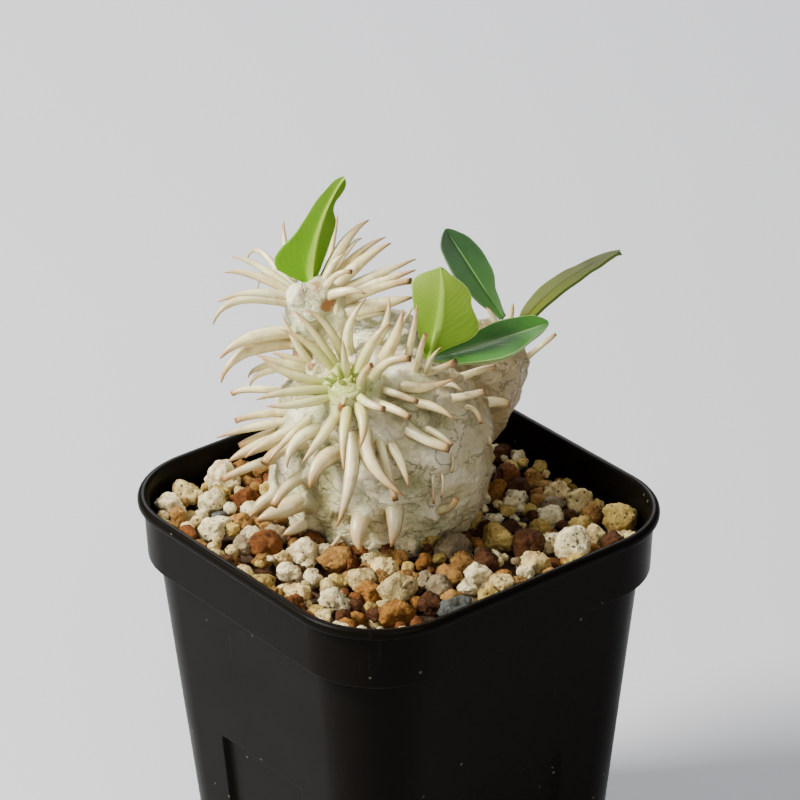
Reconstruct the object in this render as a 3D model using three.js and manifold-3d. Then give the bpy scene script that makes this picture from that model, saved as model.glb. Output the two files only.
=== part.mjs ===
import * as THREE from 'three';
import { mergeVertices } from 'three/addons/utils/BufferGeometryUtils.js';
import Module from 'manifold-3d';

// A spiny, many-headed pachypodium in a square nursery pot filled with gravel.
// Millimetres, +Z up. The origin is the middle of the pot's underside, with its sides along X and Y.

const wasm = await Module();
wasm.setup();

// The reference view: where it looks from, and its directions ahead, to the right and upwards. A place in
// the view is given as steps across and down from its top left corner. One step there is as wide as the
// distance ahead divided by VIEW_LENGTH, and VIEW_MIDDLE is the step that the middle of the view stands at.
const VIEW_FROM = new THREE.Vector3(604.42, -478.17, 530.89);
const VIEW_AHEAD = new THREE.Vector3(-0.69265, 0.54905, -0.46774);
const VIEW_RIGHT = new THREE.Vector3(0.62523, 0.78038, -0.00984);
const VIEW_UP = new THREE.Vector3(-0.35961, 0.29926, 0.88381);
const VIEW_LENGTH = 4200;
const VIEW_MIDDLE = 400;

// Driving dimensions of the pot
const POT_WIDTH = 90;
const POT_HEIGHT = 100;
const WALL = 1.2;
const FLOOR = 1.6;
const GAP = 0.3;
const RIM_HALF = POT_WIDTH / 2;
const RIM_CORNER = 20.4;
const LIP_PROUD = 1.3;
const COLLAR_HALF = RIM_HALF - LIP_PROUD;
const COLLAR_DEPTH = 15;
const COLLAR_TAPER = 0.5;
const STEP_IN = 2.9;
const STEP_Z = POT_HEIGHT - COLLAR_DEPTH;
const STEP_RISE = 0.8;
const STEP_LIFT = 0.3;
const SHOULDER_HALF = COLLAR_HALF - STEP_IN;
const SHOULDER_CORNER = RIM_CORNER - 4;
const BASE_HALF = 33;
const BASE_CORNER = 12;
const BASE_EDGE = 0.8;
const PANEL_HALF = 13;
const PANEL_TOP = 48.5;
const PANEL_FOOT = 8;
const PANEL_DEPTH = 1.2;
const PANEL_SLOPE = 0.9;
const CORNER_STEPS = 5;
const DRAIN_RADIUS = 3.2;
const DRAIN_SIDES = 12;
const DRAIN_COUNT = 8;
const DRAIN_REACH = [17, 26];

// The rolled lip, from its lower edge over the rim to the wall's inside: depth below the rim, and inset
const LIP_PROFILE = [
  [2.6, LIP_PROUD], [2.1, 0.2], [1.1, 0], [0.3, 0.4], [0, 1.1], [0.5, 2], [2.6, LIP_PROUD + WALL],
];

// Driving dimensions of the gravel
const STONE_LEVEL = 92.4;
const STONE_BED_DEPTH = 1.3;
const STONE_SLOPE = 0.022;
const STONE_SPACING = 6.6;
const STONE_RADIUS = 3.4;
const STONE_JITTER = 1.3;
const STONE_CLEARANCE = 0.6;
const STONE_CROWDING = 0.72;
const STONE_LARGEST_PULL = 4;
const STONE_SIZES = [0.78, 1.14];
const STONE_LIFTS = [-0.6, 0.7];
const STONE_FLATNESS = [0.72, 0.95];
const STONE_NARROWNESS = [0.78, 1];
const STONE_TILT = 0.3;
const BODY_MIDDLE = new THREE.Vector2(-11.7, 3.9);
const BODY_REACH = 21;
const TRUNK_ROOM = GAP + 0.1;
const SPINE_ROOM = GAP + 0.15;
const LOW_TIP = 100;

// Driving dimensions of the plant
const GOLDEN_ANGLE = THREE.MathUtils.degToRad(137.508);
const SPINE_LENGTH = 18;
const SPINE_RADIUS = 1.55;
const SPINE_SIDES = 5;
const SPINE_ROWS = 4;
const SPINE_SINK = 1.6;
const LEAST_SPOKE = 0.01;
const SPINE_FLARE = 0.2;
const FLARE_REACH = 0.3;
const SPINE_SLIMNESS = 0.3;
const BELLY_AT = 0.4;
const BELLY_WIDTH = 1.3;
const POINT_TAPER = 1.2;
const TAPER_POWER = 2.2;
const BROKEN_SHARE = 0.16;
const BROKEN_REACH = 0.72;
const BROKEN_TAPER = 0.45;
const PAIR_SPLIT = 1.5;
const LEAF_THICKNESS = 0.8;
const LEAF_ROWS = 12;
const LEAF_COLUMNS = 4;
const LEAST_TIP = 0.35;
const TIP_CROWDING = 1.6;
const LEAF_CLEARANCE = 0.45;
const SAMPLE_ROWS = 16;
const SAMPLE_COLUMNS = 3;
const CLEAR_STEPS = 8;
const POT_ROOM = 2;

const UP = new THREE.Vector3(0, 0, 1);

// A draw between 0 and 1 that is the same on every run
function draw(index, seed) {
  const wave = Math.sin(index * 12.9898 + seed * 78.233) * 43758.5453;
  return wave - Math.floor(wave);
}

function spread(index, seed, low, high) {
  return low + (high - low) * draw(index, seed);
}

// Solids and meshes

function solidFrom(geometry) {
  const bare = geometry.clone();
  bare.deleteAttribute('normal');
  bare.deleteAttribute('uv');
  const joined = mergeVertices(bare, 1e-4);
  return new wasm.Manifold(new wasm.Mesh({
    numProp: 3,
    vertProperties: new Float32Array(joined.attributes.position.array),
    triVerts: new Uint32Array(joined.index.array),
  }));
}

function geometryFrom(solid) {
  const { vertProperties, triVerts, numProp } = solid.getMesh();
  const geometry = new THREE.BufferGeometry();
  const places = new Float32Array((vertProperties.length / numProp) * 3);
  for (let vertex = 0; vertex < places.length / 3; vertex += 1) {
    for (let axis = 0; axis < 3; axis += 1) {
      places[vertex * 3 + axis] = vertProperties[vertex * numProp + axis];
    }
  }
  geometry.setAttribute('position', new THREE.BufferAttribute(places, 3));
  geometry.setIndex(Array.from(triVerts));
  geometry.computeVertexNormals();
  return geometry;
}

function unionOf(geometries) {
  return wasm.Manifold.union(geometries.map(solidFrom));
}

function largestPiece(solid) {
  const pieces = solid.decompose();
  return pieces.reduce((best, piece) => (piece.volume() > best.volume() ? piece : best));
}

function finish(color, roughness, metalness = 0) {
  return new THREE.MeshStandardMaterial({ color, roughness, metalness });
}

function namedMesh(name, geometry, material) {
  const mesh = new THREE.Mesh(geometry, material);
  mesh.name = name;
  return mesh;
}

// Pot: a rounded square section whose side, corner and panel depth change with height

function potColumns() {
  const columns = [];
  const panelEdges = [-PANEL_HALF - PANEL_SLOPE, -PANEL_HALF, PANEL_HALF, PANEL_HALF + PANEL_SLOPE];
  for (let side = 0; side < 4; side += 1) {
    panelEdges.forEach((along, edge) => {
      columns.push({ side, along, inPanel: edge === 1 || edge === 2 });
    });
    for (let step = 0; step <= CORNER_STEPS; step += 1) {
      columns.push({ side, turn: (step / CORNER_STEPS) * (Math.PI / 2) });
    }
  }
  return columns;
}

function sectionPoint(column, row) {
  const point = new THREE.Vector3(column.along, -row.half, row.z);
  if (column.turn === undefined) {
    point.y += column.inPanel ? row.panel : 0;
  } else {
    const centre = row.half - row.corner;
    point.x = centre + row.corner * Math.sin(column.turn);
    point.y = -centre - row.corner * Math.cos(column.turn);
  }
  point.applyAxisAngle(UP, column.side * (Math.PI / 2));
  if (row.sloped) {
    point.z = stoneTop(point.x, point.y) - STONE_BED_DEPTH;
  }
  return point;
}

// Turns a profile of rows into a closed form: LatheGeometry gives the faces, the section gives the places
function sweptSection(rows) {
  const columns = potColumns();
  const profile = rows.map((row) => new THREE.Vector2(row.half, row.z));
  const geometry = new THREE.LatheGeometry(profile, columns.length);
  const place = geometry.attributes.position;
  for (let vertex = 0; vertex < place.count; vertex += 1) {
    const column = columns[Math.floor(vertex / rows.length) % columns.length];
    const row = rows[vertex % rows.length];
    const point = row.half === 0 ? new THREE.Vector3(0, 0, row.z) : sectionPoint(column, row);
    place.setXYZ(vertex, point.x, point.y, point.z);
  }
  return geometry;
}

function wallHalf(z) {
  return THREE.MathUtils.mapLinear(z, 0, STEP_Z, BASE_HALF, SHOULDER_HALF);
}

function wallCorner(z) {
  return THREE.MathUtils.mapLinear(z, 0, STEP_Z, BASE_CORNER, SHOULDER_CORNER);
}

function wallRow(z, inset, panel) {
  return { half: wallHalf(z) - inset, z, corner: wallCorner(z) - inset, panel };
}

function collarRow(z, half, inset = 0) {
  return { half: half - inset, z, corner: RIM_CORNER - (RIM_HALF - half) - inset, panel: 0 };
}

function potGeometry() {
  const collarFoot = COLLAR_HALF - COLLAR_TAPER;
  const stepInside = STEP_Z + STEP_LIFT;
  return sweptSection([
    { half: 0, z: 0 },
    wallRow(0, BASE_EDGE, 0),
    wallRow(BASE_EDGE, 0, 0),
    wallRow(PANEL_FOOT - PANEL_SLOPE, 0, 0),
    wallRow(PANEL_FOOT, 0, PANEL_DEPTH),
    wallRow(PANEL_TOP, 0, PANEL_DEPTH),
    wallRow(PANEL_TOP + PANEL_SLOPE, 0, 0),
    wallRow(STEP_Z - STEP_RISE, 0, 0),
    collarRow(STEP_Z + STEP_RISE, collarFoot),
    ...LIP_PROFILE.map(([depth, inset]) => collarRow(POT_HEIGHT - depth, RIM_HALF - inset)),
    collarRow(stepInside + STEP_RISE, collarFoot, WALL),
    wallRow(stepInside - STEP_RISE, WALL, 0),
    wallRow(PANEL_TOP + PANEL_SLOPE, WALL, 0),
    wallRow(PANEL_TOP, WALL, PANEL_DEPTH),
    wallRow(FLOOR, WALL, PANEL_DEPTH),
    { half: 0, z: FLOOR },
  ]);
}

// Drain holes in the floor, with the middle left whole
function drainHoles() {
  const holes = [];
  for (let index = 0; index < DRAIN_COUNT; index += 1) {
    const hole = new THREE.CylinderGeometry(DRAIN_RADIUS, DRAIN_RADIUS, FLOOR * 3, DRAIN_SIDES);
    const reach = DRAIN_REACH[index % 2];
    const turn = (index / DRAIN_COUNT) * Math.PI * 2;
    hole.rotateX(Math.PI / 2);
    hole.translate(reach * Math.cos(turn), reach * Math.sin(turn), 0);
    holes.push(hole);
  }
  return unionOf(holes);
}

function potMesh() {
  const solid = solidFrom(potGeometry()).subtract(drainHoles());
  return namedMesh('pot', geometryFrom(solid), finish(0x17161a, 0.42));
}

// Woody body: lobes of one plant that have grown together

// Each lobe: foot and top of its axis, and radii at even steps from foot to top
const LOBES = [
  {
    foot: [-12, 5.4, 58], top: [-11.2, 4.4, 126],
    radii: [3, 8, 12, 15.5, 18.8, 21.6, 23.4, 24, 23, 20.4, 15],
  },
  { foot: [-15, 6, 110], top: [-17.5, 9.5, 131], radii: [15, 17.5, 18, 15.8, 9.5] },
  { foot: [-9, -0.5, 108], top: [-4.2, -10.5, 128.6], radii: [11, 13.2, 13.4, 11.8, 9, 4.6] },
  { foot: [-17, -4, 114], top: [-24.2, -3.4, 140], radii: [11, 9.4, 7.4, 6.3, 6.1, 5.9, 4.6] },
  { foot: [-6, 6, 112], top: [0, 9, 127.2], radii: [9, 9, 8, 6.2, 2.8] },
  { foot: [-14, 18, 97], top: [-9.7, 37.8, 123.4], radii: [9, 9.4, 9.8, 10.6, 11, 9.6, 4] },
];
const LOBE_SIDES = 18;
const LOBE_CAP = 0.4;

function lobeGeometry(lobe, grow = 0) {
  const foot = new THREE.Vector3(...lobe.foot);
  const top = new THREE.Vector3(...lobe.top);
  const length = foot.distanceTo(top);
  const last = lobe.radii.length - 1;
  const profile = lobe.radii.map((radius, step) => new THREE.Vector2(radius + grow, (length * step) / last));
  profile.unshift(new THREE.Vector2(0, -grow));
  profile.push(new THREE.Vector2(0, length + grow + LOBE_CAP * lobe.radii[last]));
  const geometry = new THREE.LatheGeometry(profile, LOBE_SIDES);
  const axis = top.sub(foot).normalize();
  geometry.applyQuaternion(new THREE.Quaternion().setFromUnitVectors(new THREE.Vector3(0, 1, 0), axis));
  geometry.translate(...lobe.foot);
  return geometry;
}

function trunkSolid(grow = 0) {
  return unionOf(LOBES.map((lobe) => lobeGeometry(lobe, grow)));
}

// Spines that the reference view shows: the places in it where foot, middle and tip show, how far in mm the
// tip stands towards the view from the foot, the spine's width in the view, and whether its end is broken
const SEEN_SPINES = [
  // Front head, upper side
  [316, 371, 298, 346, 282, 313, 3, 8, false],
  [338, 374, 312, 347, 280, 329, 4, 8, false],
  [343, 372, 318, 338, 294, 310, 4, 8, false],
  [346, 367, 330, 330, 304, 309, 4, 8, false],
  [338, 338, 336, 313, 338, 289, 2, 7, false],
  [350, 384, 345, 362, 343, 340, 6, 8, false],
  [354, 360, 348, 332, 366, 298, 3, 10, false],
  [358, 376, 370, 346, 391, 322, 4, 10, false],
  [368, 350, 385, 325, 389, 297, 2, 8, false],
  [375, 363, 393, 342, 403, 309, 4, 12, false],
  [394, 342, 402, 324, 416, 304, 1, 5, false],
  // Front head, right side
  [374, 384, 385, 364, 411, 359, 6, 12, true],
  [360, 390, 363, 375, 372, 365, 7, 11, true],
  [396, 376, 420, 388, 456, 378, 4, 11, false],
  [437, 381, 450, 384, 463, 392, 3, 6, false],
  [382, 382, 396, 394, 418, 402, 5, 10, true],
  [412, 401, 434, 407, 455, 420, 3, 9, false],
  [355, 386, 366, 402, 385, 409, 7, 12, true],
  [376, 402, 393, 409, 410, 418, 5, 12, true],
  [412, 364, 425, 373, 457, 361, 4, 12, true],
  [446, 398, 466, 396, 485, 391, 1, 11, true],
  [458, 378, 478, 371, 496, 367, 0, 10, true],
  [482, 402, 495, 402, 509, 405, 0, 14, true],
  [484, 427, 488, 437, 489, 446, 0, 7, true],
  [403, 424, 425, 439, 450, 449, 4, 16, true],
  [424, 424, 440, 436, 452, 446, 3, 9, true],
  [462, 406, 473, 409, 481, 424, 2, 7, true],
  // Front head, lower side
  [346, 388, 345, 397, 343, 406, 4, 8, true],
  [353, 394, 363, 420, 360, 448, 6, 11, false],
  [349, 398, 344, 432, 344, 472, 6, 10, false],
  [351, 425, 351, 474, 337, 527, 5, 14, false],
  [368, 420, 370, 460, 404, 496, 6, 14, false],
  [379, 430, 386, 465, 396, 501, 4, 11, true],
  [387, 438, 400, 460, 409, 488, 4, 10, false],
  [394, 502, 395, 522, 391, 547, 3, 16, false],
  [432, 515, 447, 508, 457, 498, 5, 12, true],
  [366, 512, 358, 530, 361, 552, 3, 17, false],
  [341, 457, 320, 463, 310, 488, 5, 17, false],
  [306, 475, 288, 486, 273, 507, 4, 15, true],
  [306, 502, 280, 510, 256, 521, 3, 17, false],
  [278, 492, 262, 504, 251, 517, 0, 13, false],
  [307, 523, 295, 529, 283, 535, 2, 11, false],
  [343, 534, 337, 540, 331, 547, 2, 6, true],
  [450, 447, 453, 459, 451, 473, 2, 4, true],
  [437, 467, 433, 482, 434, 504, 2, 5, true],
  [440, 467, 443, 479, 441, 498, 2, 4, true],
  // Front head, left side
  [328, 380, 290, 374, 261, 357, 4, 9, false],
  [313, 370, 288, 364, 256, 355, 3, 9, false],
  [314, 371, 292, 359, 272, 353, 2, 8, false],
  [297, 366, 264, 372, 250, 387, 0, 7, false],
  [298, 362, 264, 366, 248, 378, -1, 7, false],
  [288, 389, 254, 389, 232, 394, -3, 10, true],
  [338, 388, 290, 392, 256, 400, 4, 9, false],
  [335, 392, 298, 404, 266, 406, 4, 9, false],
  [294, 409, 264, 414, 235, 421, 1, 11, true],
  [292, 419, 254, 427, 216, 438, 1, 9, false],
  [287, 426, 262, 436, 239, 446, 1, 11, true],
  [288, 432, 256, 447, 228, 462, 2, 13, false],
  [303, 424, 272, 439, 245, 458, 3, 9, false],
  [306, 440, 281, 450, 264, 464, 4, 17, true],
  [310, 412, 291, 435, 267, 463, 5, 8, false],
  [325, 427, 297, 441, 287, 468, 5, 12, false],
  [340, 408, 321, 438, 302, 463, 6, 10, false],
  [281, 455, 250, 467, 222, 480, 0, 12, true],
  // Left head
  [298, 334, 250, 338, 220, 359, 2, 13, false],
  [298, 345, 246, 352, 221, 383, 0, 12, false],
  [302, 294, 256, 276, 224, 273, 0, 8, false],
  [302, 294, 262, 268, 232, 257, -3, 7, false],
  [294, 296, 264, 254, 247, 260, -10, 6, false],
  [303, 293, 272, 270, 257, 293, -5, 5, false],
  [295, 292, 286, 250, 284, 220, -7, 7, false],
  [296, 300, 255, 293, 218, 302, 2, 9, false],
  [296, 306, 240, 300, 213, 325, 3, 9, false],
  [323, 290, 332, 246, 338, 214, -10, 6, false],
  [320, 287, 343, 245, 369, 220, 0, 10, false],
  [320, 288, 348, 250, 362, 239, -1, 5, false],
  [322, 288, 331, 267, 346, 254, 3, 7, false],
  [326, 287, 354, 257, 386, 237, -1, 8, false],
  [326, 290, 358, 264, 391, 243, 1, 12, false],
  [318, 293, 334, 277, 352, 272, 4, 9, true],
  [332, 297, 374, 276, 416, 259, -1, 10, false],
  [334, 301, 377, 283, 416, 270, 0, 10, false],
  [336, 306, 378, 288, 412, 281, 1, 12, true],
  [322, 300, 345, 291, 366, 294, 4, 9, false],
  [338, 316, 377, 305, 414, 297, 2, 14, false],
  [340, 321, 364, 315, 390, 312, 2, 7, false],
  // Small middle head and right rear branch
  [409, 359, 413, 333, 417, 305, 12, 7, false],
  [416, 372, 420, 352, 426, 334, 11, 8, true],
  [424, 376, 430, 361, 441, 347, 11, 5, false],
  [525, 363, 541, 346, 556, 334, 0, 7, true],
  [510, 328, 511, 315, 513, 303, 3, 6, false],
  [500, 329, 493, 317, 486, 307, 2, 6, false],
];
const SEEN_BOW = 0.6;

// Growing heads. The spines that the reference view doesn't show stand in pairs on a golden-angle spiral
// that runs from a head's top down its sides.
// centre is the middle of the head's dome, cell the bark in mm2 that the youngest pair has to itself, which
// grows towards the oldest, and size the length of a head's spines against SPINE_LENGTH.
const HEADS = [
  {
    centre: [-8.5, -2.5, 117.4], axis: [0.26, -0.53, 0.81], radius: 13.5,
    cell: 24, pairs: 36, turn: 0.4, size: 0.95,
  },
  {
    centre: [-22.4, -2.9, 134.8], axis: [-0.35, -0.1, 0.93], radius: 6,
    cell: 16, pairs: 24, turn: 1.1, size: 1.1,
  },
  {
    centre: [-2.2, 7.6, 123.4], axis: [0.35, 0.25, 0.9], radius: 6.6,
    cell: 20, pairs: 7, turn: 2.0, size: 0.7,
  },
  {
    centre: [-10.6, 34.5, 117.5], axis: [0.15, 0.45, 0.88], radius: 10.5,
    cell: 28, pairs: 8, turn: 0.2, size: 0.55,
  },
  {
    centre: [-11.5, 4, 112], axis: [0, 0, 1], radius: 23,
    cell: 58, pairs: 52, turn: 0.9, size: 0.82,
  },
];
const FLANK = HEADS.length - 1;

// How spines bend on the heads and on the old bark below them: how much they lead away from the head's
// axis where they start, and how much of their far half runs outwards, from young to old spines, splays
// from the axis and falls
const HEAD_BEND = { lead: 0.35, young: 0.8, old: 0.3, splay: 0.85, fall: 0.2 };
const FLANK_BEND = { lead: 0.1, young: 0.4, old: 0.4, splay: 0, fall: 1 };

// The two spines of a pair lean apart; the youngest fifth of a head's spines are shorter and thinner
const LEAN_RANGE = [0.25, 0.45];
const TWIST = 0.15;
const LENGTH_RANGE = [0.8, 1.14];
const KNEE_SHARE = 0.5;
const TIP_SHARE = 0.6;
const YOUNG_SHARE = 0.2;
const YOUNG_SHORTER = 0.45;
const YOUNG_THINNER = 0.3;
const LEAST_WIDTH = 0.3;

// How the spiral spaces the pairs, and how near they may stand to each other, to the gravel and to the head
const NEARLY_UPRIGHT = 0.1;
const KEYS_PER_HEAD = 100;
const YOUNG_CELL = 0.6;
const BARK_GROWTH = 1.2;
const PAIR_CLEARANCE = 3.1;
const FLANK_CLEARANCE = 6.2;
const LOWEST_SPINE = 93.5;
const RAY_START = 80;
const HEAD_REACH = [0.6, 1.6];

// Where the line of sight through a place in the reference view has come to at a given depth
function seenPoint(across, down, depth) {
  const sight = VIEW_AHEAD.clone();
  sight.addScaledVector(VIEW_RIGHT, (across - VIEW_MIDDLE) / VIEW_LENGTH);
  sight.addScaledVector(VIEW_UP, (VIEW_MIDDLE - down) / VIEW_LENGTH);
  return VIEW_FROM.clone().addScaledVector(sight, depth);
}

// Where a straight line from the reference view to a point first meets the trunk
function firstHit(point, trunkMesh) {
  const caster = new THREE.Raycaster(VIEW_FROM, point.clone().sub(VIEW_FROM).normalize());
  return caster.intersectObject(trunkMesh)[0];
}

function isHidden(point, trunkMesh) {
  const hit = firstHit(point, trunkMesh);
  return hit !== undefined && hit.distance < VIEW_FROM.distanceTo(point);
}

// A spine as the reference view shows it, standing on the trunk where its foot shows
function seenLine([footX, footY, middleX, middleY, tipX, tipY, rise, width, broken], trunkMesh) {
  const hit = firstHit(seenPoint(footX, footY, 1), trunkMesh);
  const depth = hit.point.clone().sub(VIEW_FROM).dot(VIEW_AHEAD);
  const foot = hit.point.clone().addScaledVector(hit.face.normal, -SPINE_SINK);
  const middle = seenPoint(middleX, middleY, depth - rise * SEEN_BOW);
  const tip = seenPoint(tipX, tipY, depth - rise);
  const knee = middle.multiplyScalar(2).addScaledVector(foot, -0.5).addScaledVector(tip, -0.5);
  const curve = new THREE.QuadraticBezierCurve3(foot, knee, tip);
  return { curve, radius: ((width / 2) * depth) / VIEW_LENGTH, broken, reach: 1 };
}

// The place of one pair on its head: the point on the axis it faces away from, and its outward direction
function spiralPlace(head, index) {
  const axis = new THREE.Vector3(...head.axis).normalize();
  const across = UP.clone().cross(axis);
  if (across.length() < NEARLY_UPRIGHT) {
    across.set(1, 0, 0);
  }
  across.normalize();
  const domeArea = 2 * Math.PI * head.radius ** 2;
  const age = index / head.pairs;
  const area = (index + 0.5) * head.cell * (YOUNG_CELL + BARK_GROWTH * age);
  const tilt = Math.acos(Math.max(0, 1 - area / domeArea));
  const drop = Math.max(0, area - domeArea) / (2 * Math.PI * head.radius);
  const radial = across.applyAxisAngle(axis, index * GOLDEN_ANGLE + head.turn);
  const out = axis.clone().multiplyScalar(Math.cos(tilt)).addScaledVector(radial, Math.sin(tilt));
  const centre = new THREE.Vector3(...head.centre).addScaledVector(axis, -drop);
  return { centre, out, radial, axis, age };
}

// Pairs that land on open bark, each with its foot on the trunk's surface
function spinePairs(trunkMesh) {
  const caster = new THREE.Raycaster();
  const pairs = [];
  HEADS.forEach((head, number) => {
    for (let index = 0; index < head.pairs; index += 1) {
      const place = spiralPlace(head, index);
      const start = place.centre.clone().addScaledVector(place.out, RAY_START);
      caster.set(start, place.out.clone().negate());
      const hit = caster.intersectObject(trunkMesh)[0];
      const reach = hit.point.distanceTo(place.centre) / head.radius;
      const onThisHead = reach > HEAD_REACH[0] && reach < HEAD_REACH[1];
      const clearance = number === FLANK ? FLANK_CLEARANCE : PAIR_CLEARANCE;
      const crowded = pairs.some((other) => other.foot.distanceTo(hit.point) < clearance);
      if (onThisHead && !crowded && hit.point.z > LOWEST_SPINE) {
        pairs.push({ ...place, foot: hit.point, head: number, index });
      }
    }
  });
  return pairs;
}

// One spine of a pair: its bent line and the radius near its foot
function spiralLine(pair, side) {
  const key = pair.head * KEYS_PER_HEAD + pair.index * 2 + side;
  const tangent = new THREE.Vector3().crossVectors(pair.axis, pair.radial);
  const lean = (side === 0 ? 1 : -1) * spread(key, 1, ...LEAN_RANGE);
  const isFlank = pair.head === FLANK;
  const youth = isFlank ? 0 : Math.max(0, 1 - pair.age / YOUNG_SHARE);
  const { size } = HEADS[pair.head];
  const length = SPINE_LENGTH * size * spread(key, 2, ...LENGTH_RANGE) * (1 - YOUNG_SHORTER * youth);
  const width = THREE.MathUtils.lerp(LEAST_WIDTH, 1, size) * (1 - YOUNG_THINNER * youth);
  const bend = isFlank ? FLANK_BEND : HEAD_BEND;
  const start = pair.out.clone().addScaledVector(pair.radial, bend.lead).addScaledVector(tangent, lean);
  start.normalize();
  const outwards = THREE.MathUtils.lerp(bend.young, bend.old, pair.age);
  const end = pair.out.clone().multiplyScalar(outwards).addScaledVector(pair.radial, bend.splay);
  end.addScaledVector(UP, -bend.fall).addScaledVector(tangent, lean + spread(key, 3, -TWIST, TWIST));
  end.normalize();
  const base = pair.foot.clone().addScaledVector(tangent, Math.sign(lean) * PAIR_SPLIT);
  const foot = base.clone().addScaledVector(pair.out, -SPINE_SINK);
  const knee = base.clone().addScaledVector(start, length * KNEE_SHARE);
  const tip = knee.clone().addScaledVector(end, length * TIP_SHARE);
  const broken = draw(key, 4) < BROKEN_SHARE;
  return {
    curve: new THREE.QuadraticBezierCurve3(foot, knee, tip),
    radius: SPINE_RADIUS * width,
    broken,
    reach: broken ? BROKEN_REACH : 1,
  };
}

// Broken spines widen at the foot; whole ones are thickest above it and then run to a point
function spineRadius(line, along, grow) {
  if (line.broken) {
    const flare = SPINE_FLARE * Math.max(0, 1 - along / FLARE_REACH);
    return line.radius * (1 + flare - BROKEN_TAPER * along) + grow;
  }
  const slim = SPINE_SLIMNESS * Math.max(0, 1 - along / BELLY_AT) ** 2;
  return line.radius * (BELLY_WIDTH - slim - POINT_TAPER * along ** TAPER_POWER) + grow;
}

function spineGeometry(line, grow = 0) {
  const blunt = line.broken || grow > 0;
  const geometry = new THREE.CylinderGeometry(blunt ? 1 : 0, 1, 1, SPINE_SIDES, SPINE_ROWS);
  const place = geometry.attributes.position;
  const first = line.curve.getTangent(0);
  const across = new THREE.Vector3().crossVectors(first, UP).normalize();
  for (let vertex = 0; vertex < place.count; vertex += 1) {
    const spoke = new THREE.Vector2(place.getX(vertex), place.getZ(vertex));
    const along = place.getY(vertex) + 0.5;
    const centre = line.curve.getPoint(along * line.reach);
    const tangent = line.curve.getTangent(along * line.reach);
    const level = across.clone().addScaledVector(tangent, -across.dot(tangent)).normalize();
    const upright = new THREE.Vector3().crossVectors(level, tangent);
    const radius = spoke.length() > LEAST_SPOKE ? spineRadius(line, along, grow) / spoke.length() : 0;
    centre.addScaledVector(level, spoke.x * radius).addScaledVector(upright, spoke.y * radius);
    place.setXYZ(vertex, centre.x, centre.y, centre.z);
  }
  return geometry;
}

// Leaves: a thin folded blade along a bent midrib

// foot and tip are the ends of the midrib and bend pulls it between them; face is the way the upper side
// looks; left and right are half widths at even steps, seen from the upper side with the tip up;
// fold lifts both halves towards the upper side; tipLength is the share of the length that the tip
// takes to round off.
const LEAVES = [
  {
    name: 'leaf_left_head', foot: [-23.6, -4, 142.4], bend: [-25.9, -1.3, 155.4], tip: [-24.6, 6.2, 163.4],
    face: [-0.91, 0.04, -0.41], fold: 0.45, tipLength: 0.1, color: 0x7fae2c,
    left: [1.2, 3, 3.9, 4.7, 5.2, 5.4, 5.2, 4.4, 2.3, 1.7, 2.1, 2, 1.6],
    right: [1, 6.8, 7.9, 6.8, 5.2, 4.1, 3.4, 2.9, 2.5, 2.1, 1.7, 1.3, 0.9],
  },
  {
    name: 'leaf_round', foot: [1, 7.7, 130.4], bend: [1.4, 12.3, 141.7], tip: [-1.9, 13.7, 148.6],
    face: [-0.6, 0.62, 0.2], fold: 0.12, tipLength: 0.22, color: 0x86b03c,
    left: [0.8, 1.7, 4.2, 6.9, 8.5, 8.4, 7.3, 6.3, 6.1, 5.2, 3.6, 2, 1.4],
    right: [0.8, 1.6, 3, 3.9, 4.6, 5.2, 5.7, 6.1, 6.3, 6.5, 6.5, 6.6, 6.4],
  },
  {
    name: 'leaf_centre', foot: [0.5, 9.2, 129.9], bend: [5, 18.7, 131.2], tip: [8.7, 33.9, 133.3],
    face: [0.42, -0.34, 0.84], fold: 0.2, tipLength: 0.14, color: 0x2f7a33,
    left: [0.8, 1.4, 1.9, 2.3, 2.6, 2.9, 3.3, 3.8, 3.9, 3.7, 3.3, 3, 2.6],
    right: [0.8, 1.8, 2.7, 3.5, 4, 4.6, 5, 5.2, 4.9, 3.9, 2.9, 2.1, 1.4],
  },
  {
    name: 'leaf_back', foot: [-10.1, 37.2, 126.2], bend: [-17.3, 37.1, 131.7], tip: [-25.3, 34, 142.6],
    face: [0.62, -0.5, 0.6], fold: 0.2, tipLength: 0.14, color: 0x1f5a2c,
    left: [0.8, 1.1, 1.8, 2.5, 3, 3.4, 3.8, 4.1, 4.1, 3.9, 3.6, 3.2, 2.4],
    right: [0.8, 1, 1.4, 1.8, 2.2, 3.2, 3.8, 4, 4.1, 3.9, 3.4, 2.5, 1.8],
  },
  {
    name: 'leaf_right', foot: [-6.6, 39.6, 124.9], bend: [-3.4, 45.5, 134.9], tip: [5.1, 57, 141.5],
    face: [0.1, -0.4, 0.91], fold: 0.16, tipLength: 0.1, color: 0x6f8440,
    left: [1.2, 2, 2.5, 2.7, 2.9, 2.8, 2.6, 2.4, 1.9, 1.7, 1.5, 1, 0.7],
    right: [1.2, 1.8, 2.1, 2.2, 2.4, 2.5, 2.4, 2.4, 2.3, 1.9, 1.7, 1, 0.7],
  },
];

function smoothValue(values, along) {
  const line = new THREE.CatmullRomCurve3(values.map((value, step) => new THREE.Vector3(step, value, 0)));
  return line.getPoint(along).y;
}

// Half the width of a blade on one side of its midrib, rounded off towards the tip
function halfWidth(leaf, along, across) {
  const past = Math.max(0, (along - 1 + leaf.tipLength) / leaf.tipLength);
  const width = smoothValue(across > 0 ? leaf.left : leaf.right, along);
  return Math.max(width * Math.sqrt(Math.max(0, 1 - past ** 2)), LEAST_TIP);
}

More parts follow.
